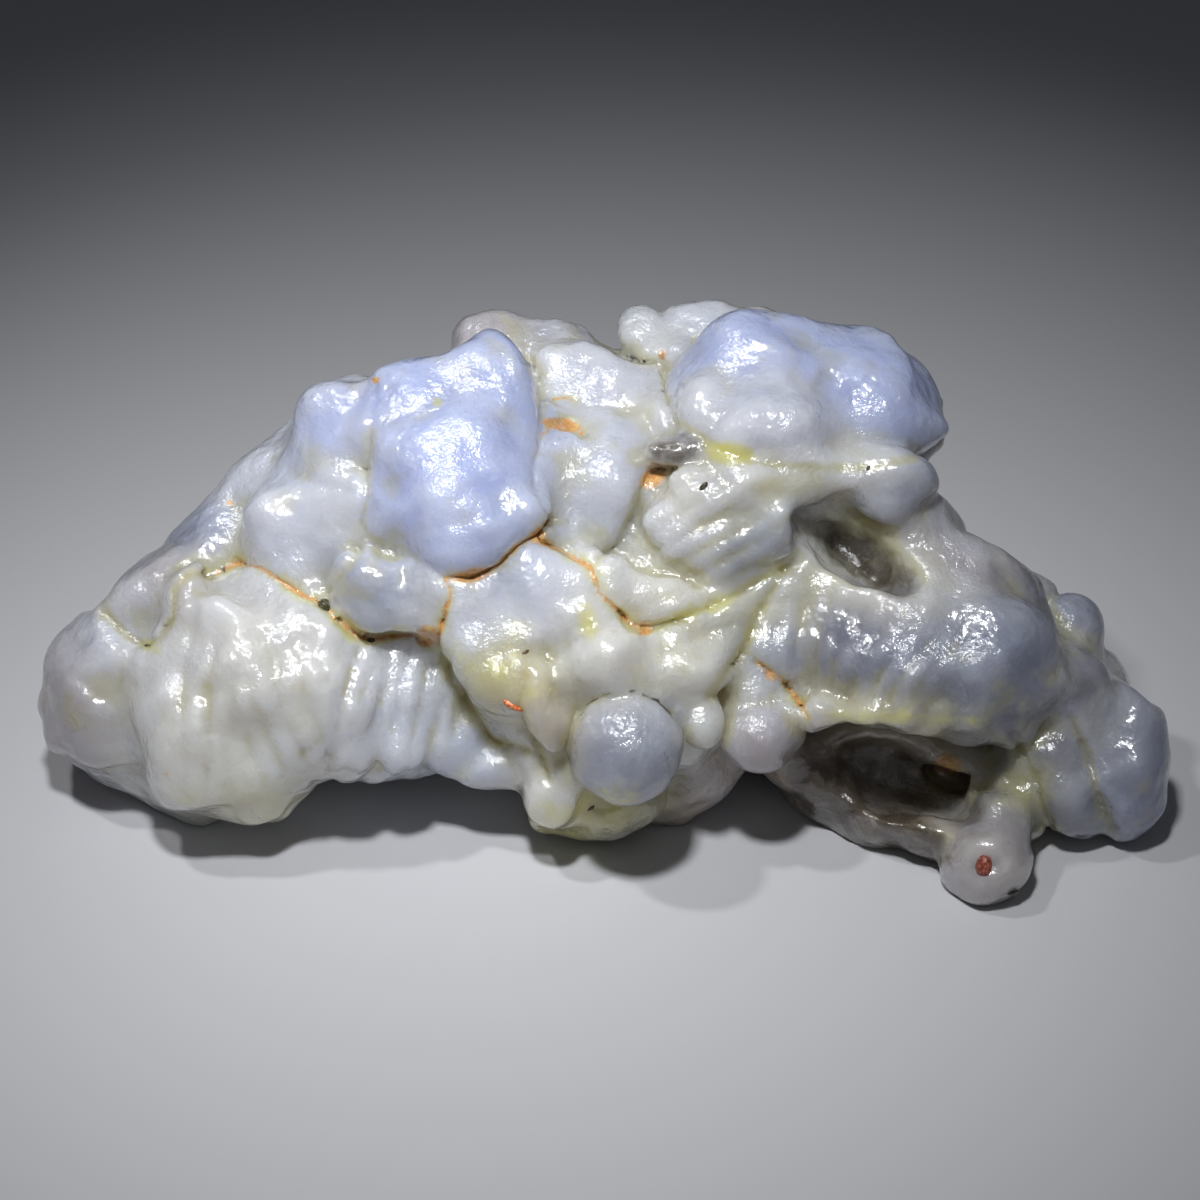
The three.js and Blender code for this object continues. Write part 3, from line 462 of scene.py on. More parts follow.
balls = []
for _, a, u, ra, ru, rt, roll, towards in FACE_MASSES:
    balls.append(view_ball(a, u, towards, (ra, ru, rt), roll, MASS_BLEND, MASS_SINK, "cream"))
for _, x, y, z, rx, ry, rz in BACK_MASSES:
    balls.append(plain_ball(x, y, z, (rx, ry, rz), MASS_BLEND, MASS_SINK, "grey"))
balls += back_balls()
for _, x, y, z, rx, ry, rz, blend, tint in REST_LOBES:
    balls.append(plain_ball(x, y, z, (rx, ry, rz), blend, 0.0, tint))
for name, a, u, towards, ra, ru, rt, roll, blend, tint in UNDER_LOBES:
    balls.append(view_ball(a, u, towards, (ra, ru, rt), roll, blend, 0.0, tint, name in ROUND))
for name, a, u, ra, ru, rt, roll, proud, blend, tint in FACE_LOBES:
    depth = face_depth(a, u) + proud - rt
    balls.append(view_ball(a, u, depth, (ra, ru, rt), roll, blend, 0.0, tint, name in ROUND))
hollows = []
for _, a, u, towards, ra, ru, rt, roll, blend in HOLLOWS:
    hollows.append(view_ball(a, u, towards, (ra, ru, rt), roll, blend, 0.0, "olive"))


RIPPLE_BEND = 1.4


def sway(points):
    """Sways each place by slow sines of the other two coordinates, so that no ball is quite round,
    and then by short ripples whose crests lie aslant and are bent by a slower sine."""
    k = 2 * math.pi / WAVE_LENGTH
    x = points[:, 0]
    y = points[:, 1]
    z = points[:, 2]
    slow = np.stack([
        x - WAVE_HEIGHT * (np.sin(k * y + 1.3) + np.sin(k * 1.7 * z + 0.4)),
        y - WAVE_HEIGHT * (np.sin(k * z + 2.1) + np.sin(k * 1.6 * x + 3.2)),
        z - WAVE_HEIGHT * (np.sin(k * x + 0.7) + np.sin(k * 1.8 * y + 5.1)),
    ], axis=1)
    k = 2 * math.pi / RIPPLE_LENGTH
    x = slow[:, 0]
    y = slow[:, 1]
    z = slow[:, 2]
    one = k * (0.7 * y + 0.6 * z) + RIPPLE_BEND * np.sin(0.6 * k * x)
    two = k * (0.8 * z - 0.5 * x) + RIPPLE_BEND * np.sin(0.7 * k * y)
    three = k * (0.75 * x + 0.55 * y) + RIPPLE_BEND * np.sin(0.65 * k * z)
    return slow - RIPPLE_HEIGHT * np.stack([np.sin(one), np.sin(two), np.sin(three)], axis=1)


def to_ball(points, ball):
    """Distance to a stretched ball, negative inside. With v the place in the ball's own axes over
    its half sizes, it is |v| (|v| - 1) / |v / half size|, raised by how far the ball is sunk."""
    centre, axes, half, _, sunk, _, _ = ball
    v = (points - centre) @ axes.T / half
    first = np.sqrt((v * v).sum(axis=1)) + 1e-9
    second = np.sqrt(((v / half) ** 2).sum(axis=1)) + 1e-9
    return first * (first - 1) / second + sunk


def near_ball(points, ball):
    """Indices of the points inside the box round a ball, widened by the reach of its blend."""
    centre, axes, half, _, _, _, _ = ball
    wide = np.sqrt(((axes * half[:, None]) ** 2).sum(axis=0)) + LOBE_REACH
    inside = (np.abs(points - centre) < wide).all(axis=1)
    return np.nonzero(inside)[0]


def in_view(points):
    """Across, up and towards of each place as the front view shows it: the two first grow by the
    eye's distance over what is left of it in front of the place."""
    towards = points @ TOWARDS
    near = EYE_DISTANCE / (EYE_DISTANCE - towards)
    return points @ ACROSS * near, points @ UP * near, towards


FAR_OFF = 9.0


def to_line(across, up, line):
    """Least distance in the view from each place to the straight pieces of a line, each at the
    point of the piece that the place falls square upon."""
    best = np.full(len(across), FAR_OFF)
    for (x0, y0), (x1, y1) in zip(line[:-1], line[1:]):
        dx = x1 - x0
        dy = y1 - y0
        t = np.clip(((across - x0) * dx + (up - y0) * dy) / (dx * dx + dy * dy), 0, 1)
        best = np.minimum(best, np.hypot(across - x0 - t * dx, up - y0 - t * dy))
    return best


SEAM_REACH = 5
SEAM_FADE = 3.0


def on_front(towards):
    """One on the face, fading to nothing three millimetres behind the middle of the stone."""
    return np.clip((towards + SEAM_FADE) / SEAM_FADE, 0, 1)


def seam_cut(points):
    """How deep the seams cut the face: their depth times e to the minus distance over width, and
    fading towards the back."""
    across, up, towards = in_view(points)
    cut = np.zeros(len(points))
    for _, depth, width, line in SEAMS:
        path = np.array(line)
        low = path.min(axis=0) - SEAM_REACH * width
        high = path.max(axis=0) + SEAM_REACH * width
        near = (across > low[0]) & (across < high[0]) & (up > low[1]) & (up < high[1])
        spot = np.nonzero(near & (towards > -SEAM_FADE))[0]
        if len(spot):
            far = to_line(across[spot], up[spot], line)
            cut[spot] = np.maximum(cut[spot], depth * np.exp(-far / width))
    return cut * on_front(towards)


SWAY_ROOM = 0.5


def to_stone(points):
    """Distance to the skin of the stone, negative inside. The balls are joined one after another,
    each with a soft least value, then the hollows, the seams and the table plane are cut. The soft
    least value of a and b is a (1 - m) + b m - k m (1 - m), with k the blend and m a half and
    (a - b) / 2k, kept from 0 to 1."""
    value = np.full(len(points), OPEN_AIR)
    low = points.min(axis=0) - SWAY_ROOM
    high = points.max(axis=0) + SWAY_ROOM
    place = sway(points)
    for ball in balls:
        wide = ball[2].max() + LOBE_REACH
        if (ball[0] + wide < low).any() or (ball[0] - wide > high).any():
            continue
        own = points if ball[6] else place
        spot = near_ball(own, ball)
        if len(spot) == 0:
            continue
        d = to_ball(own[spot], ball)
        blend = ball[3]
        mix = np.clip(0.5 + 0.5 * (value[spot] - d) / blend, 0, 1)
        value[spot] = value[spot] * (1 - mix) + d * mix - blend * mix * (1 - mix)
    for hollow in hollows:
        d = -to_ball(place, hollow)
        blend = hollow[3]
        mix = np.clip(0.5 + 0.5 * (value - d) / blend, 0, 1)
        value = d * (1 - mix) + value * mix + blend * mix * (1 - mix)
    value = value + seam_cut(points)
    return np.maximum(value, TABLE_Z - points[:, 2])


CELL = 0.215
SLAB = 8
SPACE_LOW = np.array([-23.6, -11.6, -8.0])
SPACE_HIGH = np.array([23.8, 11.8, 12.4])


def cell_values():
    """The distance on a lattice of cells round the stone, worked out in slabs across it."""
    count = np.ceil((SPACE_HIGH - SPACE_LOW) / CELL).astype(int) + 1
    xs, ys, zs = [SPACE_LOW[k] + CELL * np.arange(count[k]) for k in range(3)]
    values = np.empty(count)
    for start in range(0, count[0], SLAB):
        part = np.stack(np.meshgrid(xs[start:start + SLAB], ys, zs, indexing="ij"), axis=-1)
        values[start:start + SLAB] = to_stone(part.reshape(-1, 3)).reshape(part.shape[:3])
    return values


def net_of(values):
    """A closed net of four-sided faces over the places where the values change sign: one vertex
    in each mixed cell, at the mean of the crossings on its edges, and one face round each lattice
    edge that the skin crosses, turned so that it looks out."""
    solid = values < 0
    corners = [(i, j, k) for i in (0, 1) for j in (0, 1) for k in (0, 1)]
    size = np.array(values.shape) - 1
    held = np.zeros(size, int)
    for i, j, k in corners:
        held += solid[i:i + size[0], j:j + size[1], k:k + size[2]]
    cells = np.argwhere((held > 0) & (held < 8))
    number = np.full(size, -1)
    number[tuple(cells.T)] = np.arange(len(cells))
    total = np.zeros((len(cells), 3))
    crossings = np.zeros(len(cells))
    for start in corners:
        for axis in range(3):
            if start[axis] == 1:
                continue
            end = np.array(start)
            end[axis] = 1
            first = values[tuple((cells + start).T)]
            last = values[tuple((cells + end).T)]
            crossed = (first < 0) != (last < 0)
            share = np.where(crossed, first / np.where(crossed, first - last, 1), 0)
            place = np.array(start) + share[:, None] * (end - np.array(start))
            total += place * crossed[:, None]
            crossings += crossed
    places = SPACE_LOW + CELL * (cells + total / crossings[:, None])
    faces = []
    for axis in range(3):
        one = (axis + 1) % 3
        two = (axis + 2) % 3
        front = [slice(None)] * 3
        back = [slice(None)] * 3
        front[axis] = slice(0, -1)
        back[axis] = slice(1, None)
        here = solid[tuple(front)]
        there = solid[tuple(back)]
        edges = np.argwhere(here != there)
        edges = edges[(edges[:, one] > 0) & (edges[:, two] > 0)]
        leaves = here[tuple(edges.T)]
        step_one = np.zeros(3, int)
        step_one[one] = 1
        step_two = np.zeros(3, int)
        step_two[two] = 1
        ring = [edges, edges - step_one, edges - step_one - step_two, edges - step_two]
        quads = np.stack([number[tuple(cell.T)] for cell in ring], axis=1)
        faces.append(np.where(leaves[:, None], quads, quads[:, ::-1]))
    return places, np.concatenate(faces)


def largest_piece(places, faces):
    """Keeps the one connected piece with the most vertices: every vertex takes the lowest number
    among its neighbours until nothing changes."""
    label = np.arange(len(places))
    sides = np.concatenate([faces[:, [0, 1]], faces[:, [1, 2]], faces[:, [2, 3]], faces[:, [3, 0]]])
    while True:
        lowest = label.copy()
        np.minimum.at(lowest, sides[:, 0], label[sides[:, 1]])
        np.minimum.at(lowest, sides[:, 1], label[sides[:, 0]])
        lowest = lowest[lowest]
        if (lowest == label).all():
            break
        label = lowest
    kept = label == np.bincount(label).argmax()
    renumber = np.cumsum(kept) - 1
    return places[kept], renumber[faces[kept[faces[:, 0]]]]


def normals_of(places, faces):
    """Outward direction at each vertex: the sum of the crossed diagonals of its faces."""
    across = places[faces[:, 2]] - places[faces[:, 0]]
    along = places[faces[:, 3]] - places[faces[:, 1]]
    flat = np.cross(across, along)
    total = np.zeros_like(places)
    for corner in range(4):
        for k in range(3):
            total[:, k] += np.bincount(faces[:, corner], flat[:, k], len(places))
    return total / (np.linalg.norm(total, axis=1, keepdims=True) + 1e-12)


def neighbour_mean(places, faces):
    """Mean of the vertices joined to each vertex by a side."""
    total = np.zeros_like(places)
    count = np.zeros(len(places))
    for corner in range(4):
        other = faces[:, (corner + 1) % 4]
        count += np.bincount(faces[:, corner], None, len(places))
        count += np.bincount(other, None, len(places))
        for k in range(3):
            total[:, k] += np.bincount(faces[:, corner], places[other, k], len(places))
            total[:, k] += np.bincount(other, places[faces[:, corner], k], len(places))
    return total / count[:, None]


SETTLE_STEPS = 6
EVEN_STEPS = 4
EVEN_SHARE = 0.5
LONGEST_STEP = 0.2
STEP_SHARE = 0.9


def settle(places, faces):
    """Evens the net out along the skin, half way to the mean of the neighbours at a step, and sets
    every vertex back onto the skin by the distance to it along the outward direction."""
    for step in range(SETTLE_STEPS):
        normal = normals_of(places, faces)
        if step < EVEN_STEPS:
            move = neighbour_mean(places, faces) - places
            places = places + EVEN_SHARE * (move - normal * (move * normal).sum(axis=1)[:, None])
        value = np.clip(to_stone(places), -LONGEST_STEP, LONGEST_STEP)
        places = places - normal * value[:, None] * STEP_SHARE
    return places


# Large odd numbers that scramble the three corner coordinates, the seed and their mixture.
SCRAMBLE_X = 73856093
SCRAMBLE_Y = 19349663
SCRAMBLE_Z = 83492791
SCRAMBLE_SEED = 2654435761
SCRAMBLE_KEY = 1274126177
LOW_BITS = 0x7FFFFFFF


def lattice_noise(points, size, seed):
    """Smooth noise from -1 to 1: a scrambled value at each corner of cubes of that size, eased
    from corner to corner by 3t^2 - 2t^3."""
    spot = points / size
    base = np.floor(spot).astype(np.int64)
    t = spot - base
    t = t * t * (3 - 2 * t)
    total = np.zeros(len(points))
    for i in (0, 1):
        for j in (0, 1):
            for k in (0, 1):
                key = (base[:, 0] + i) * SCRAMBLE_X ^ (base[:, 1] + j) * SCRAMBLE_Y
                key = key ^ (base[:, 2] + k) * SCRAMBLE_Z ^ seed * SCRAMBLE_SEED
                key = (key ^ (key >> 13)) * SCRAMBLE_KEY & LOW_BITS
                key = key ^ (key >> 16)
                weight = np.where(i, t[:, 0], 1 - t[:, 0])
                weight = weight * np.where(j, t[:, 1], 1 - t[:, 1])
                weight = weight * np.where(k, t[:, 2], 1 - t[:, 2])
                total += weight * ((key % 65536) / 32767.5 - 1)
    return total


# Folds where the jelly ran before it set: across, up, half width, half height, the way their
# crests run in degrees, spacing and height.
FOLDS = [
    (8.6, -1.6, 1.8, 2.4, 74, 0.8, 0.20),
    (11.4, -2.4, 2.0, 2.3, 60, 0.9, 0.22),
    (14.2, -2.9, 2.2, 1.7, 48, 0.8, 0.15),
    (-15.8, -4.6, 1.7, 3.2, 86, 0.95, 0.30),
    (-12.6, -4.4, 2.6, 2.8, 112, 1.0, 0.30),
    (-10.6, -6.2, 2.2, 1.6, 40, 0.8, 0.20),
    (-9.6, -4.2, 1.4, 2.8, 66, 0.8, 0.26),
    (-7.2, -4.2, 1.8, 2.8, 78, 0.8, 0.36),
    (4.8, 2.6, 3.0, 2.2, 36, 0.9, 0.34),
    (3.6, -0.6, 2.6, 1.6, 22, 0.9, 0.18),
    (-5.4, 3.2, 2.6, 1.3, 10, 0.9, 0.12),
    (-1.8, -3.6, 2.0, 2.2, 100, 0.9, 0.16),
    (6.4, -3.4, 1.0, 1.4, 80, 0.5, 0.12),
    (13.2, 1.6, 2.4, 1.2, -40, 0.9, 0.12),
    (0.6, 7.2, 2.0, 2.4, 64, 1.2, 0.10),
    (-10.8, 2.4, 2.0, 1.6, 58, 1.0, 0.08),
]

# Pitted places: across, up, half width, half height, depth.
PITTED = [
    (-20.3, -3.4, 1.6, 2.4, 0.16),
    (-16.6, -5.6, 1.6, 1.8, 0.12),
    (18.4, -3.4, 1.6, 1.5, 0.15),
    (10.6, 8.4, 2.0, 1.4, 0.12),
    (-12.4, 3.6, 1.6, 1.4, 0.08),
    (-8.0, 0.6, 2.2, 1.6, 0.08),
    (11.5, -7.6, 3.0, 2.0, 0.2),
    (16.5, -7.0, 2.2, 1.6, 0.14),
]

# Smooth domes without grain: across, up, half width, half height.
SMOOTH = [
    (-2.4, 0.7, 1.9, 2.1),
    (1.0, -5.9, 2.3, 2.3),
    (6.4, -5.6, 1.6, 1.4),
    (5.2, 8.8, 2.0, 2.2),
    (-11.2, 2.2, 1.6, 1.8),
    (18.8, -1.3, 1.3, 1.3),
    (20.6, -6.0, 1.6, 3.0),
]

# Sizes and heights of the relief that is everywhere, and how much of it the smooth domes lose.
DENT_SIZE = 2.6
DIMPLE_SIZE = 1.3
GRAIN_SIZE = 0.62
DENT_HEIGHT = 0.11
DIMPLE_HEIGHT = 0.10
GRAIN_HEIGHT = 0.06
CALM_SHARE = 0.75

# How the crests of the folds bend and fade along their way, and the level that they rise from.
BEND_SIZE = 3.0
BEND_SHARE = 0.5
FADING_SIZE = 1.6
FADING_SHARE = 0.4
CREST_LEVEL = 0.6

# How far behind the middle of the stone folds and pits reach, and over what depth they fade.
RELIEF_BACK = 2.0
RELIEF_FADE = 3.0

# Size of the pits, how sharply they are cut, and how low over the table the relief fades out.
PIT_SIZE = 0.75
PIT_GAIN = 1.6
PIT_LEVEL = 0.25
TABLE_FADE = 0.4


def bell(across, up, ca, cu, ra, ru):
    """A soft-edged oval in the view: e to the minus square of the oval."""
    return np.exp(-oval(across, up, ca, cu, ra, ru) ** 2)


def relief(places):
    """Fine relief of the skin in millimetres: dents, dimples and grain everywhere, each a noise of
    its own size, with the folds and the pits laid over them where the face has them. A fold is the
    size of the sine of the distance across the crests over their spacing, so that its crests are
    round and its troughs sharp."""
    dents = lattice_noise(places, DENT_SIZE, 5)
    dimples = lattice_noise(places, DIMPLE_SIZE, 3)
    grain = lattice_noise(places, GRAIN_SIZE, 8)
    across, up, towards = in_view(places)
    calm = np.zeros(len(places))
    for ca, cu, ra, ru in SMOOTH:
        calm = np.maximum(calm, bell(across, up, ca, cu, ra, ru) * (towards > 0))
    height = DIMPLE_HEIGHT * dimples + GRAIN_HEIGHT * grain
    height = DENT_HEIGHT * dents + height * (1 - CALM_SHARE * calm)
    front = np.clip((towards + RELIEF_BACK) / RELIEF_FADE, 0, 1)
    bend = BEND_SHARE * lattice_noise(places, BEND_SIZE, 11)
    fading = 1 - FADING_SHARE + FADING_SHARE * lattice_noise(places, FADING_SIZE, 13)
    for ca, cu, ra, ru, turn, spacing, depth in FOLDS:
        angle = math.radians(turn)
        over = (up - cu) * math.cos(angle) - (across - ca) * math.sin(angle)
        crest = np.abs(np.sin(math.pi * (over / spacing + bend)))
        height += depth * fading * (crest - CREST_LEVEL) * bell(across, up, ca, cu, ra, ru) * front
    hole = np.clip(lattice_noise(places, PIT_SIZE, 21) * PIT_GAIN - PIT_LEVEL, 0, 1)
    for ca, cu, ra, ru, depth in PITTED:
        height -= depth * hole * bell(across, up, ca, cu, ra, ru) * front
    return height


places, faces = largest_piece(*net_of(cell_values()))
places = settle(places, faces)
normal = normals_of(places, faces)
above_table = np.clip((places[:, 2] - TABLE_Z) / TABLE_FADE, 0, 1)
places = places + normal * (relief(places) * above_table)[:, None]
normal = normals_of(places, faces)


MOST_OPEN = 1.3
TINT_FALL = 0.5


def openness(reach):
    """How open the air is in front of each vertex: the distance to the skin found that far out,
    over that distance. It is one on a flat and near nothing deep in a seam."""
    return np.clip(to_stone(places + normal * reach) / reach, 0, MOST_OPEN)


def tints_of(points):
    """Colour at each point: the tints of the balls, each weighted by e to the minus distance to
    its skin over half a millimetre."""
    place = sway(points)
    total = np.zeros((len(points), 3))
    weights = np.zeros(len(points))
    for ball in balls:
        spot = near_ball(place, ball)
        weight = np.exp(-np.clip(to_ball(place[spot], ball), 0, 3) / TINT_FALL)
        total[spot] += weight[:, None] * np.array(ball[5])
        weights[spot] += weight
    return total / (weights[:, None] + 1e-9)


def stain_of(kind, spread, share):
    """How strongly the seams of one stain colour each vertex: a share of e to the minus square of
    the distance to them over the width of the stain."""
    across, up, towards = in_view(places)
    total = np.zeros(len(places))
    for stain, _, width, line in SEAMS:
        if stain == kind:
            far = to_line(across, up, line)
            total = np.maximum(total, np.exp(-(far / (width * spread)) ** 2))
    return total * on_front(towards) * share


# Patches of stain on the face: stain, across, up, half width, half height, roll, strength. Most dark
# patches are painted shade in the cave and the cleft; the one on the crystal is its own dark grey.
PATCHES = [
    ("rust", -6.95, -1.45, 0.6, 0.55, 0, 1.0),
    ("rust", -5.1, 1.0, 1.0, 0.4, 10, 0.9),
    ("rust", -2.5, 2.5, 0.5, 0.35, 20, 1.0),
    ("rust", -1.55, 7.0, 0.9, 0.3, -10, 1.2),
    ("rust", 2.1, 4.9, 0.75, 0.45, 35, 1.0),
    ("rust", 2.5, 9.8, 0.25, 0.3, 0, 0.9),
    ("rust", 1.8, -1.2, 0.4, 0.35, 0, 0.9),
    ("rust", 6.8, -3.0, 0.4, 0.35, -30, 0.9),
    ("rust", -17.35, -7.0, 0.25, 0.3, 0, 0.7),
    ("rust", -14.8, 3.9, 0.2, 0.2, 0, 0.8),
    ("rust", -9.0, 8.8, 0.25, 0.2, 0, 0.9),
    ("rust", 13.9, -6.7, 0.75, 0.75, 0, 0.9),
    ("olive", 10.6, 2.0, 2.3, 1.4, -36, 0.9),
    ("olive", 7.6, 4.6, 2.2, 0.8, 0, 0.7),
    ("olive", -0.5, -8.6, 3.4, 1.1, 5, 0.7),
    ("olive", -1.5, -6.4, 1.6, 1.6, 0, 0.5),
    ("olive", -15.0, -7.9, 3.2, 1.0, -10, 0.45),
    ("olive", -12.0, -4.5, 1.2, 2.0, 0, 0.4),
    ("olive", 12.3, -9.5, 1.2, 1.0, 0, 0.8),
    ("yellow", 5.2, 5.9, 1.2, 0.5, -8, 1.0),
    ("yellow", -10.5, -0.7, 0.25, 0.25, 0, 0.9),
    ("yellow", -6.5, 7.9, 0.25, 0.25, 0, 0.8),
    ("yellow", 7.1, 1.2, 0.9, 0.5, 20, 0.5),
    ("yellow", -3.3, -1.0, 0.8, 1.2, 0, 0.35),
    ("yellow", -5.7, -2.2, 0.7, 1.0, 30, 0.45),
    ("yellow", -0.5, -0.7, 0.55, 1.0, 10, 0.6),
    ("yellow", -3.9, -2.3, 0.8, 0.8, 0, 0.6),
    ("yellow", -2.5, -3.6, 1.3, 0.4, 0, 0.5),
    ("yellow", 3.7, -0.5, 2.0, 0.45, 20, 0.6),
    ("yellow", -0.2, -8.1, 2.2, 0.7, 8, 0.5),
    ("yellow", 12.0, -4.7, 4.5, 0.35, -4, 0.45),
    ("yellow", -17.9, -1.9, 0.6, 0.35, -30, 0.8),
    ("olive", -4.2, -2.6, 2.0, 1.8, 20, 0.6),
    ("olive", 2.6, -2.6, 3.0, 1.6, 30, 0.5),
    ("olive", 2.4, 0.6, 2.4, 0.9, -40, 0.5),
    ("olive", -10.4, 0.6, 2.2, 0.8, -30, 0.5),
    ("olive", -19.0, -3.6, 0.8, 2.4, 0, 0.4),
    ("olive", 17.2, -7.4, 1.4, 1.6, 0, 0.6),
    ("dark", 3.0, 6.0, 1.5, 0.8, 10, 0.78),
    # Painted shade: the cave under the hem, the wall and rim of the cave, and the cleft under the
    # loaf.
    ("dark", 11.2, -6.9, 4.2, 1.9, -18, 0.75),
    ("dark", 9.4, -8.0, 3.0, 1.5, -35, 1.0),
    ("dark", 12.2, -9.4, 2.6, 1.2, -30, 0.95),
    ("dark", 10.6, 1.6, 2.9, 1.1, -36, 0.9),
]


def patches_of(kind):
    """Strength of the patches of one stain at each vertex, the dark ones being mostly painted shade: e
    to the minus oval to the power of one and a half, which is a soft-edged oval in the view."""
    across, up, towards = in_view(places)
    total = np.zeros(len(places))
    for stain, ca, cu, ra, ru, roll, strength in PATCHES:
        if stain == kind:
            spread = oval(across, up, ca, cu, ra, ru, roll) ** 1.5
            total = np.maximum(total, strength * np.exp(-spread))
    return total * on_front(towards)


# How far out a crease and a pocket are felt for, how open a crease may be, how fast it darkens, and
# how far in a rim is felt for. Thin rims take a painted glow of light coming through.
CREASE_REACH = 0.45
POCKET_REACH = 1.6
CREASE_OPEN = 0.92
CREASE_GAIN = 1.8
RIM_DEPTH = 1.4

# How far each stain spreads from its seams, in their widths, and how strong it is on them. The
# yellow lies round the rust. Pockets and the underside take a share of the olive.
RUST_SEAMS = (0.9, 0.8)
OLIVE_SEAMS = (1.6, 0.7)
YELLOW_SEAMS = (2.4, 0.5)
DARK_SEAMS = (1.0, 0.8)
POCKET_OLIVE = 0.45
UNDER_OLIVE = 0.25

pit = np.clip((CREASE_OPEN - openness(CREASE_REACH)) * CREASE_GAIN, 0, 1)
# Thin rims, which the material lightens with a painted glow of light coming through.
thin = np.clip(1 + to_stone(places - normal * RIM_DEPTH) / RIM_DEPTH, 0, 1)
pocket = np.clip(1.0 - openness(POCKET_REACH), 0, 1)
under = np.clip(-normal[:, 2], 0, 1)
rust = np.maximum(patches_of("rust"), stain_of("rust", *RUST_SEAMS))
olive = np.maximum(patches_of("olive"), stain_of("olive", *OLIVE_SEAMS))
olive = np.maximum(olive, np.maximum(pocket * POCKET_OLIVE, under * UNDER_OLIVE))
yellow = np.maximum(patches_of("yellow"), stain_of("rust", *YELLOW_SEAMS))
# Dark: painted shade in the cave and the cleft, with the crystal's own dark grey and the dark line
# over the bubble.
dark = np.maximum(patches_of("dark"), stain_of("dark", *DARK_SEAMS))

mesh = bpy.data.meshes.new("agate_skin")
mesh.from_pydata([], [], [])
mesh.vertices.add(len(places))
mesh.vertices.foreach_set("co", ((places + SEAT) * MM).astype(np.float32).ravel())
mesh.loops.add(faces.size)
mesh.loops.foreach_set("vertex_index", faces.ravel().astype(np.int32))
mesh.polygons.add(len(faces))
mesh.polygons.foreach_set("loop_start", np.arange(0, faces.size, 4, dtype=np.int32))
mesh.polygons.foreach_set("use_smooth", np.ones(len(faces), bool))
mesh.update(calc_edges=True)
mesh.validate()
colours = np.ones((len(places), 4), np.float32)
colours[:, :3] = tints_of(places)
mesh.attributes.new("tint", "FLOAT_COLOR", "POINT").data.foreach_set("color", colours.ravel())
marks = {"rust": rust, "olive": olive, "yellow": yellow, "dark": dark, "pit": pit, "thin": thin}
for name, strength in marks.items():
    layer = mesh.attributes.new(name, "FLOAT", "POINT")
    layer.data.foreach_set("value", strength.astype(np.float32))


def put(tree, kind, **settings):
    """A node of that kind with its plain settings."""
    node = tree.nodes.new(kind)
    for name, value in settings.items():
        setattr(node, name, value)
    return node


def mark(tree, name):
    """Reads one of the skin's own values."""
    return put(tree, "ShaderNodeAttribute", attribute_name=name).outputs["Fac"]


def noise(tree, spot, scale, detail, rough):
    """Cloudy noise on the stone's own coordinates, scale in cycles to the metre."""
    node = put(tree, "ShaderNodeTexNoise")
    node.inputs["Scale"].default_value = scale
    node.inputs["Detail"].default_value = detail
    node.inputs["Roughness"].default_value = rough
    tree.links.new(spot, node.inputs["Vector"])
    return node.outputs["Fac"]


def reckon(tree, operation, one, two):
    """One step of arithmetic between two values, each a number or a socket."""
    node = put(tree, "ShaderNodeMath", operation=operation)
    for slot, value in zip(node.inputs, (one, two)):
        if isinstance(value, (int, float)):
            slot.default_value = value
        else:
            tree.links.new(value, slot)
    return node.outputs[0]


def plus(tree, one, two):
    """The sum of two values."""
    return reckon(tree, "ADD", one, two)


def times(tree, one, two):
    """The product of two values."""
    return reckon(tree, "MULTIPLY", one, two)


def ramp(tree, value, low, high):
    """Stretches a value so that low becomes nothing and high becomes all, eased at both ends."""
    node = put(tree, "ShaderNodeMapRange", interpolation_type="SMOOTHSTEP")
    node.inputs["From Min"].default_value = low
    node.inputs["From Max"].default_value = high
    tree.links.new(value, node.inputs["Value"])
    return node.outputs["Result"]


def tone(tree, share, under_colour, over_colour):
    """Lays one colour over another by a share."""
    node = put(tree, "ShaderNodeMix", data_type="RGBA")
    for slot, value in ((node.inputs[0], share), (node.inputs[6], under_colour),
                        (node.inputs[7], over_colour)):
        if isinstance(value, (int, float)):
            slot.default_value = value
        elif isinstance(value, tuple):
            slot.default_value = (*value, 1)
        else:
            tree.links.new(value, slot)
    return node.outputs[2]


def wash(tree, colour, value, low, high, most, over_colour):
    """Lays a colour over another where a value rises from low to high, and at most by a share."""
    return tone(tree, times(tree, ramp(tree, value, low, high), most), colour, over_colour)


RUST = (0.60, 0.26, 0.08)
OCHRE = (0.68, 0.43, 0.15)
OLIVE = (0.50, 0.46, 0.19)
# Painted glow of light through the thin rims.
PAINTED_RIM_GLOW = (0.74, 0.71, 0.58)
YELLOW = (0.63, 0.60, 0.20)
# Painted shade for the cave and the cleft, and the dark of the crystal and of the line over the
# bubble.
SHADE_AND_DARK_MINERAL = (0.075, 0.058, 0.042)
CLOUD = (0.80, 0.84, 0.98)
SMOKE = (0.40, 0.42, 0.50)

# Cycles to the metre of the clouds in the stone, the veils under them, the threads, the crumbs of
# earth, and the swells and dents of the polish.
CLOUD_SCALE = 260.0
DEPTH_SCALE = 420.0
THREAD_SCALE = 900.0
CRUMB_SCALE = 6200.0
SWELL_SCALE = 950.0
DENT_SCALE = 2300.0
RAGGED = 0.9

# Gloss and milkiness. The light's depth and the height of the bumps are in metres.
WAX_ROUGHNESS = 0.22
EARTH_ROUGHNESS = 0.4
POLISH_ROUGHNESS = 0.09
MILKINESS = 0.85
LIGHT_DEPTH = 0.0042
BUMP_HEIGHT = 0.00022
AGATE_IOR = 1.54


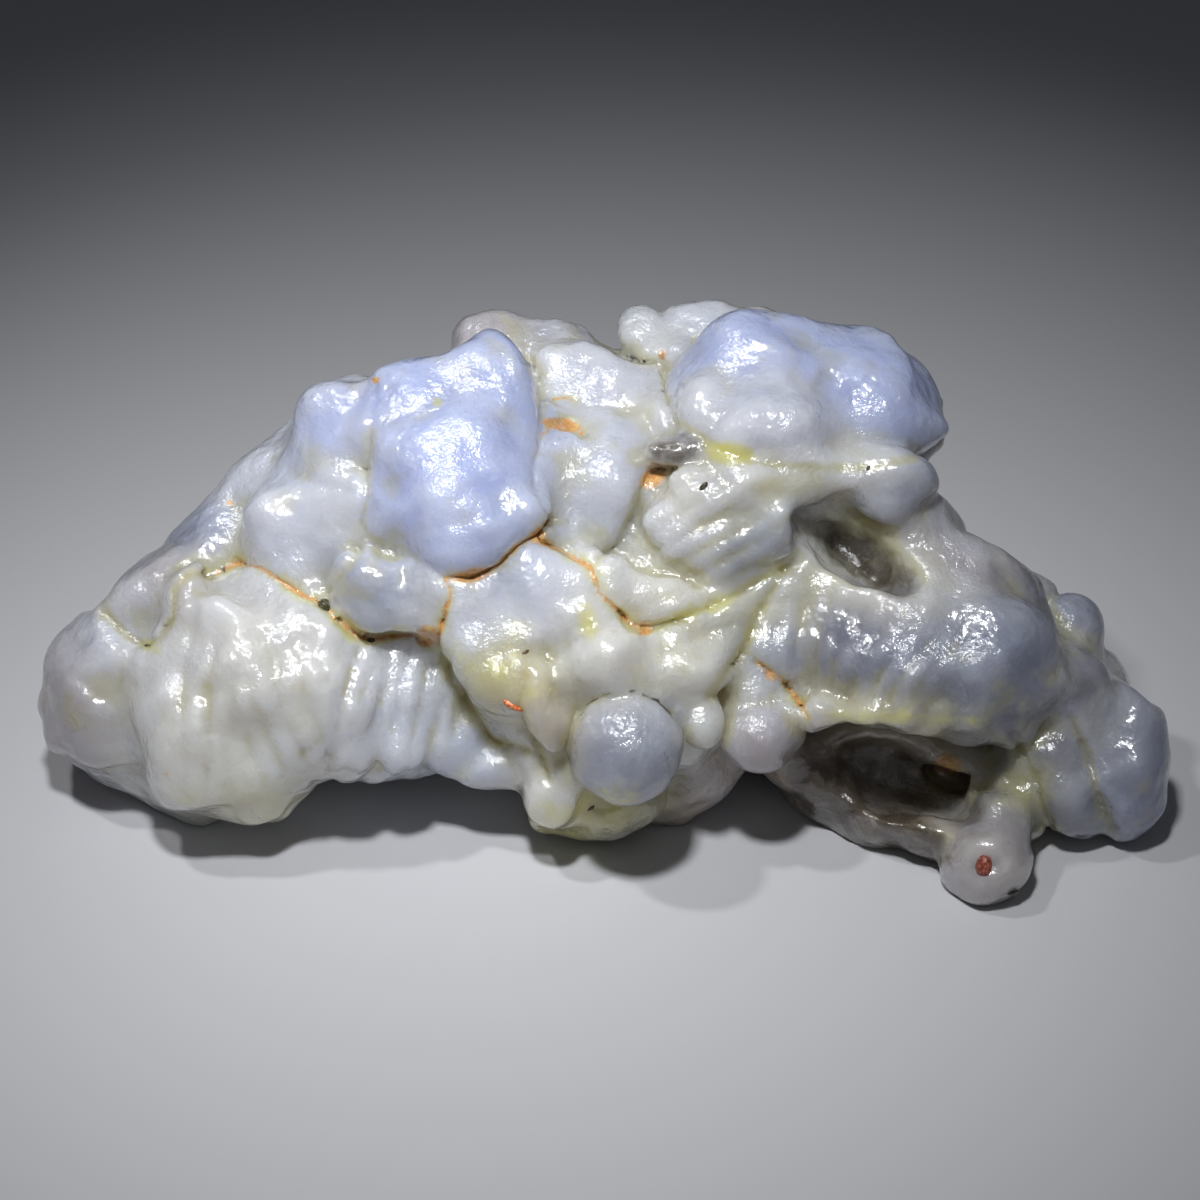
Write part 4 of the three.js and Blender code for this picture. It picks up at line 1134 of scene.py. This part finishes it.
def agate_material():
    """Waxy chalcedony: light scatters a few millimetres into it, with milky clouds, earth in the
    seams, and a thin polish broken by fine grain. Thin rims carry a painted glow, and the cave and the
    cleft a painted shade."""
    material = bpy.data.materials.new("agate")
    material.use_nodes = True
    tree = material.node_tree
    shader = tree.nodes["Principled BSDF"]
    spot = put(tree, "ShaderNodeTexCoord").outputs["Object"]
    clouds = noise(tree, spot, CLOUD_SCALE, 4.0, 0.55)
    depths = noise(tree, spot, DEPTH_SCALE, 3.0, 0.5)
    threads = noise(tree, spot, THREAD_SCALE, 5.0, 0.6)
    crumbs = noise(tree, spot, CRUMB_SCALE, 2.0, 0.6)
    ragged = times(tree, reckon(tree, "SUBTRACT", threads, 0.5), RAGGED)

    colour = put(tree, "ShaderNodeAttribute", attribute_name="tint").outputs["Color"]
    colour = wash(tree, colour, clouds, 0.48, 0.7, 0.3, CLOUD)
    colour = wash(tree, colour, depths, 0.5, 0.7, 0.35, SMOKE)
    colour = wash(tree, colour, threads, 0.5, 0.75, 0.2, SMOKE)
    colour = wash(tree, colour, plus(tree, mark(tree, "olive"), ragged), 0.25, 0.95, 0.75, OLIVE)
    crease = plus(tree, mark(tree, "pit"), times(tree, ragged, 0.7))
    colour = wash(tree, colour, crease, 0.1, 0.8, 0.38, OLIVE)
    # Painted glow: thin rims lightened as if light shone through them.
    colour = tone(tree, times(tree, mark(tree, "thin"), 0.3), colour, PAINTED_RIM_GLOW)
    torn = plus(tree, mark(tree, "yellow"), times(tree, ragged, 1.8))
    colour = wash(tree, colour, torn, 0.15, 0.95, 0.8, YELLOW)
    earth = tone(tree, ramp(tree, crumbs, 0.35, 0.65), RUST, OCHRE)
    rust_cover = ramp(tree, plus(tree, mark(tree, "rust"), ragged), 0.4, 0.85)
    colour = tone(tree, rust_cover, colour, earth)
    # Painted shade in the cave and the cleft, and the crystal's own dark grey.
    colour = tone(tree, ramp(tree, plus(tree, mark(tree, "dark"), ragged), 0.35, 0.9), colour, SHADE_AND_DARK_MINERAL)
    tree.links.new(colour, shader.inputs["Base Color"])

    rough = plus(tree, WAX_ROUGHNESS, times(tree, threads, 0.14))
    rough = plus(tree, rough, times(tree, rust_cover, EARTH_ROUGHNESS))
    tree.links.new(rough, shader.inputs["Roughness"])
    depth = times(tree, reckon(tree, "SUBTRACT", 1.0, rust_cover), MILKINESS)
    tree.links.new(depth, shader.inputs["Subsurface Weight"])
    shader.inputs["Subsurface Radius"].default_value = (1.0, 0.9, 0.85)
    shader.inputs["Subsurface Scale"].default_value = LIGHT_DEPTH
    shader.inputs["IOR"].default_value = AGATE_IOR
    shader.inputs["Coat Weight"].default_value = 1.0
    polish = plus(tree, POLISH_ROUGHNESS, times(tree, ramp(tree, clouds, 0.42, 0.62), 0.12))
    tree.links.new(polish, shader.inputs["Coat Roughness"])

    swells = noise(tree, spot, SWELL_SCALE, 1.0, 0.5)
    dents = noise(tree, spot, DENT_SCALE, 1.0, 0.5)
    dented = plus(tree, 0.12, times(tree, ramp(tree, depths, 0.42, 0.62), 0.4))
    grainy = plus(tree, 0.07, times(tree, ramp(tree, clouds, 0.42, 0.58), 0.2))
    height = plus(tree, times(tree, swells, 0.8), times(tree, dents, dented))
    height = plus(tree, height, times(tree, crumbs, grainy))
    bump = put(tree, "ShaderNodeBump")
    bump.inputs["Strength"].default_value = 1.0
    bump.inputs["Distance"].default_value = BUMP_HEIGHT
    tree.links.new(height, bump.inputs["Height"])
    tree.links.new(bump.outputs["Normal"], shader.inputs["Normal"])
    tree.links.new(bump.outputs["Normal"], shader.inputs["Coat Normal"])
    return material


mesh.materials.append(agate_material())
skin = bpy.data.objects.new("agate_skin", mesh)
bpy.context.collection.objects.link(skin)
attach(skin, "root")
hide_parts("agate_nodule")


# Grains caught in the skin.
# Small grains of sand and iron ore that the stone closed round as it grew. Each is a lumpy pebble
# sunk nearly to its middle in the skin.

# Grains: name, across, up, radius, how long each is drawn, roll, colour, roughness.
GRAINS = [
    ("dark_round_grain", -10.96, -0.2, 0.30, 1.0, 0, (0.05, 0.045, 0.02), 0.25),
    ("red_grain", 15.36, -10.64, 0.40, 1.15, 80, (0.16, 0.035, 0.02), 0.35),
    ("toe_grain", 16.48, -11.68, 0.16, 1.5, 10, (0.06, 0.05, 0.04), 0.4),
    ("left_dark_speck", -18.08, -1.84, 0.11, 1.6, 20, (0.04, 0.035, 0.03), 0.5),
    ("seam_dark_speck", -9.16, -1.64, 0.12, 1.4, 0, (0.04, 0.035, 0.03), 0.5),
    ("loaf_dark_speck", 10.72, 5.24, 0.10, 1.5, 60, (0.04, 0.035, 0.03), 0.5),
    ("orange_chip", -3.5, -4.2, 0.20, 2.1, -28, (0.50, 0.11, 0.03), 0.4),
    ("foot_speck", -0.35, -8.3, 0.11, 1.8, 35, (0.10, 0.05, 0.03), 0.5),
    ("nose_speck", -3.0, -2.1, 0.09, 2.0, 30, (0.08, 0.05, 0.02), 0.5),
    ("crystal_speck", 4.15, 4.55, 0.13, 1.7, 50, (0.05, 0.04, 0.02), 0.4),
]

SIGHT_START = 16
SIGHT_STEPS = 160
TOUCH = 0.005
SHORTEST_STEP = 0.02
SIGHT_SHARE = 0.7
SLOPE_STEP = 0.05


def on_face(across, up):
    """The place and outward direction where a sight line from the eye meets the skin. The place
    moves along the line by a share of its distance to the skin until it touches, and the direction
    is the slope of that distance along the three axes."""
    eye = TOWARDS * EYE_DISTANCE
    aim = ACROSS * across + UP * up
    way = (aim - eye) / np.linalg.norm(aim - eye)
    place = eye + way * (EYE_DISTANCE - SIGHT_START)
    for _ in range(SIGHT_STEPS):
        gap = float(to_stone(place[None])[0])
        if gap < TOUCH:
            break
        place = place + way * max(SHORTEST_STEP, min(gap * SIGHT_SHARE, 1.0))
    slope = np.zeros(3)
    for axis, step in enumerate(np.eye(3) * SLOPE_STEP):
        slope[axis] = to_stone((place + step)[None])[0] - to_stone((place - step)[None])[0]
    return place, slope / np.linalg.norm(slope)


PEBBLE_RINGS = 10
PEBBLE_STEPS = 16
PEBBLE_LUMPS = 0.22
PEBBLE_LUMP_SIZE = 0.8
PEBBLE_OUT = 0.15


def pebble_mesh(name, centre, radius, stretch, roll, seed):
    """A lumpy ball: rings of latitude closed at two poles, each point moved by smooth noise, and
    drawn out along one direction of the view by a stretch that thins it the other way."""
    lat = np.linspace(0, math.pi, PEBBLE_RINGS + 1)[1:-1]
    lon = np.arange(PEBBLE_STEPS) * 2 * math.pi / PEBBLE_STEPS
    ring, turn = np.meshgrid(lat, lon, indexing="ij")
    way = np.stack([np.sin(ring) * np.cos(turn), np.sin(ring) * np.sin(turn), np.cos(ring)], axis=-1)
    way = np.concatenate([way.reshape(-1, 3), [[0, 0, 1], [0, 0, -1]]])
    reach = radius * (1 + PEBBLE_LUMPS * lattice_noise(way + seed, PEBBLE_LUMP_SIZE, seed))
    offset = way * reach[:, None]
    long_way = ACROSS * math.cos(math.radians(roll)) + UP * math.sin(math.radians(roll))
    along = (offset @ long_way)[:, None] * long_way
    points = centre + along * stretch + (offset - along) / math.sqrt(stretch)
    number = np.arange((PEBBLE_RINGS - 1) * PEBBLE_STEPS).reshape(-1, PEBBLE_STEPS)
    after = np.roll(number, -1, axis=1)
    quads = np.stack([number[:-1], number[1:], after[1:], after[:-1]], axis=-1).reshape(-1, 4)
    top = number.size
    cap = np.stack([number[0], after[0], np.full(PEBBLE_STEPS, top)], axis=1)
    base = np.stack([after[-1], number[-1], np.full(PEBBLE_STEPS, top + 1)], axis=1)
    faces = quads.tolist() + cap.tolist() + base.tolist()
    pebble = bpy.data.meshes.new(name)
    pebble.from_pydata(((points + SEAT) * MM).tolist(), [], faces)
    pebble.polygons.foreach_set("use_smooth", np.ones(len(pebble.polygons), bool))
    pebble.update()
    return pebble


MOTTLE_SCALE = 9000.0
MOTTLE_GAIN = 2.6
MOTTLE_LIFT = 0.03


def grain_material(name, colour, rough):
    """Dark or rusty grain with a slightly mottled colour and a worn gloss."""
    material = bpy.data.materials.new(name)
    material.use_nodes = True
    tree = material.node_tree
    shader = tree.nodes["Principled BSDF"]
    spot = put(tree, "ShaderNodeTexCoord").outputs["Object"]
    mottle = noise(tree, spot, MOTTLE_SCALE, 2.0, 0.5)
    pale = tuple(min(1.0, MOTTLE_GAIN * c + MOTTLE_LIFT) for c in colour)
    tree.links.new(tone(tree, ramp(tree, mottle, 0.4, 0.7), colour, pale), shader.inputs["Base Color"])
    shader.inputs["Roughness"].default_value = rough
    return material


for number, (name, across, up, radius, stretch, roll, colour, rough) in enumerate(GRAINS):
    place, out = on_face(across, up)
    centre = place + out * radius * PEBBLE_OUT
    pebble = pebble_mesh(name, centre, radius, stretch, roll, number + 1)
    pebble.materials.append(grain_material(name, colour, rough))
    grain = bpy.data.objects.new(name, pebble)
    bpy.context.collection.objects.link(grain)
    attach(grain, "root")

# The table.
# A plain pale sheet that the stone stands on. It isn't part of the stone.
TABLE_HALF = 0.6
SHEET_COLOUR = (0.55, 0.55, 0.57, 1)
SHEET_ROUGHNESS = 0.9
table = bpy.data.meshes.new("table")
table.from_pydata([(-TABLE_HALF, -TABLE_HALF, 0), (TABLE_HALF, -TABLE_HALF, 0),
                   (TABLE_HALF, TABLE_HALF, 0), (-TABLE_HALF, TABLE_HALF, 0)], [], [(0, 1, 2, 3)])
sheet = bpy.data.materials.new("table_sheet")
sheet.use_nodes = True
sheet_shader = sheet.node_tree.nodes["Principled BSDF"]
sheet_shader.inputs["Base Color"].default_value = SHEET_COLOUR
sheet_shader.inputs["Roughness"].default_value = SHEET_ROUGHNESS
table.materials.append(sheet)
table_top = bpy.data.objects.new("table", table)
bpy.context.collection.objects.link(table_top)

# Light and camera.
# Soft lamps above and in front of the stone, and the eye as the photograph has it, 35 degrees up.

# Lamps: name, place, size, power, colour, spread in degrees.
LAMPS = [
    ("key", (-0.010, -0.050, 0.130), 0.012, 0.0092, (0.96, 0.98, 1.0), 46),
    ("spark", (-0.052, -0.010, 0.120), 0.008, 0.0034, (1.0, 1.0, 1.0), 50),
    ("fill", (0.05, -0.30, 0.20), 0.200, 0.0035, (0.95, 0.97, 1.0), 46),
]
LAMP_AIM = (-0.004, -0.002, 0.004)
ROOM_COLOUR = (0.75, 0.80, 0.88, 1)
ROOM_STRENGTH = 0.05
LENS_LENGTH = 97.5
SENSOR_WIDTH = 36
NEAREST_VIEW = 0.005


def aim_at(obj, place, target):
    """Puts an object in place with its back along the line from the target."""
    way = np.array(place) - np.array(target)
    obj.location = place
    obj.rotation_mode = "QUATERNION"
    obj.rotation_quaternion = Vector(way.tolist()).to_track_quat("Z", "Y")


for name, place, size, power, colour, spread in LAMPS:
    lamp = bpy.data.lights.new(name, "AREA")
    lamp.size = size
    lamp.energy = power
    lamp.color = colour
    lamp.spread = math.radians(spread)
    lamp_obj = bpy.data.objects.new(name, lamp)
    bpy.context.collection.objects.link(lamp_obj)
    aim_at(lamp_obj, place, LAMP_AIM)

world = bpy.data.worlds.new("studio")
world.use_nodes = True
room = world.node_tree.nodes["Background"]
room.inputs["Color"].default_value = ROOM_COLOUR
room.inputs["Strength"].default_value = ROOM_STRENGTH
bpy.context.scene.world = world
bpy.context.scene.view_settings.view_transform = "Standard"

lens = bpy.data.cameras.new("eye")
lens.lens = LENS_LENGTH
lens.sensor_width = SENSOR_WIDTH
lens.clip_start = NEAREST_VIEW
camera = bpy.data.objects.new("eye", lens)
bpy.context.collection.objects.link(camera)
aim_at(camera, tuple((SEAT + TOWARDS * EYE_DISTANCE) * MM), tuple(SEAT * MM))
bpy.context.scene.camera = camera
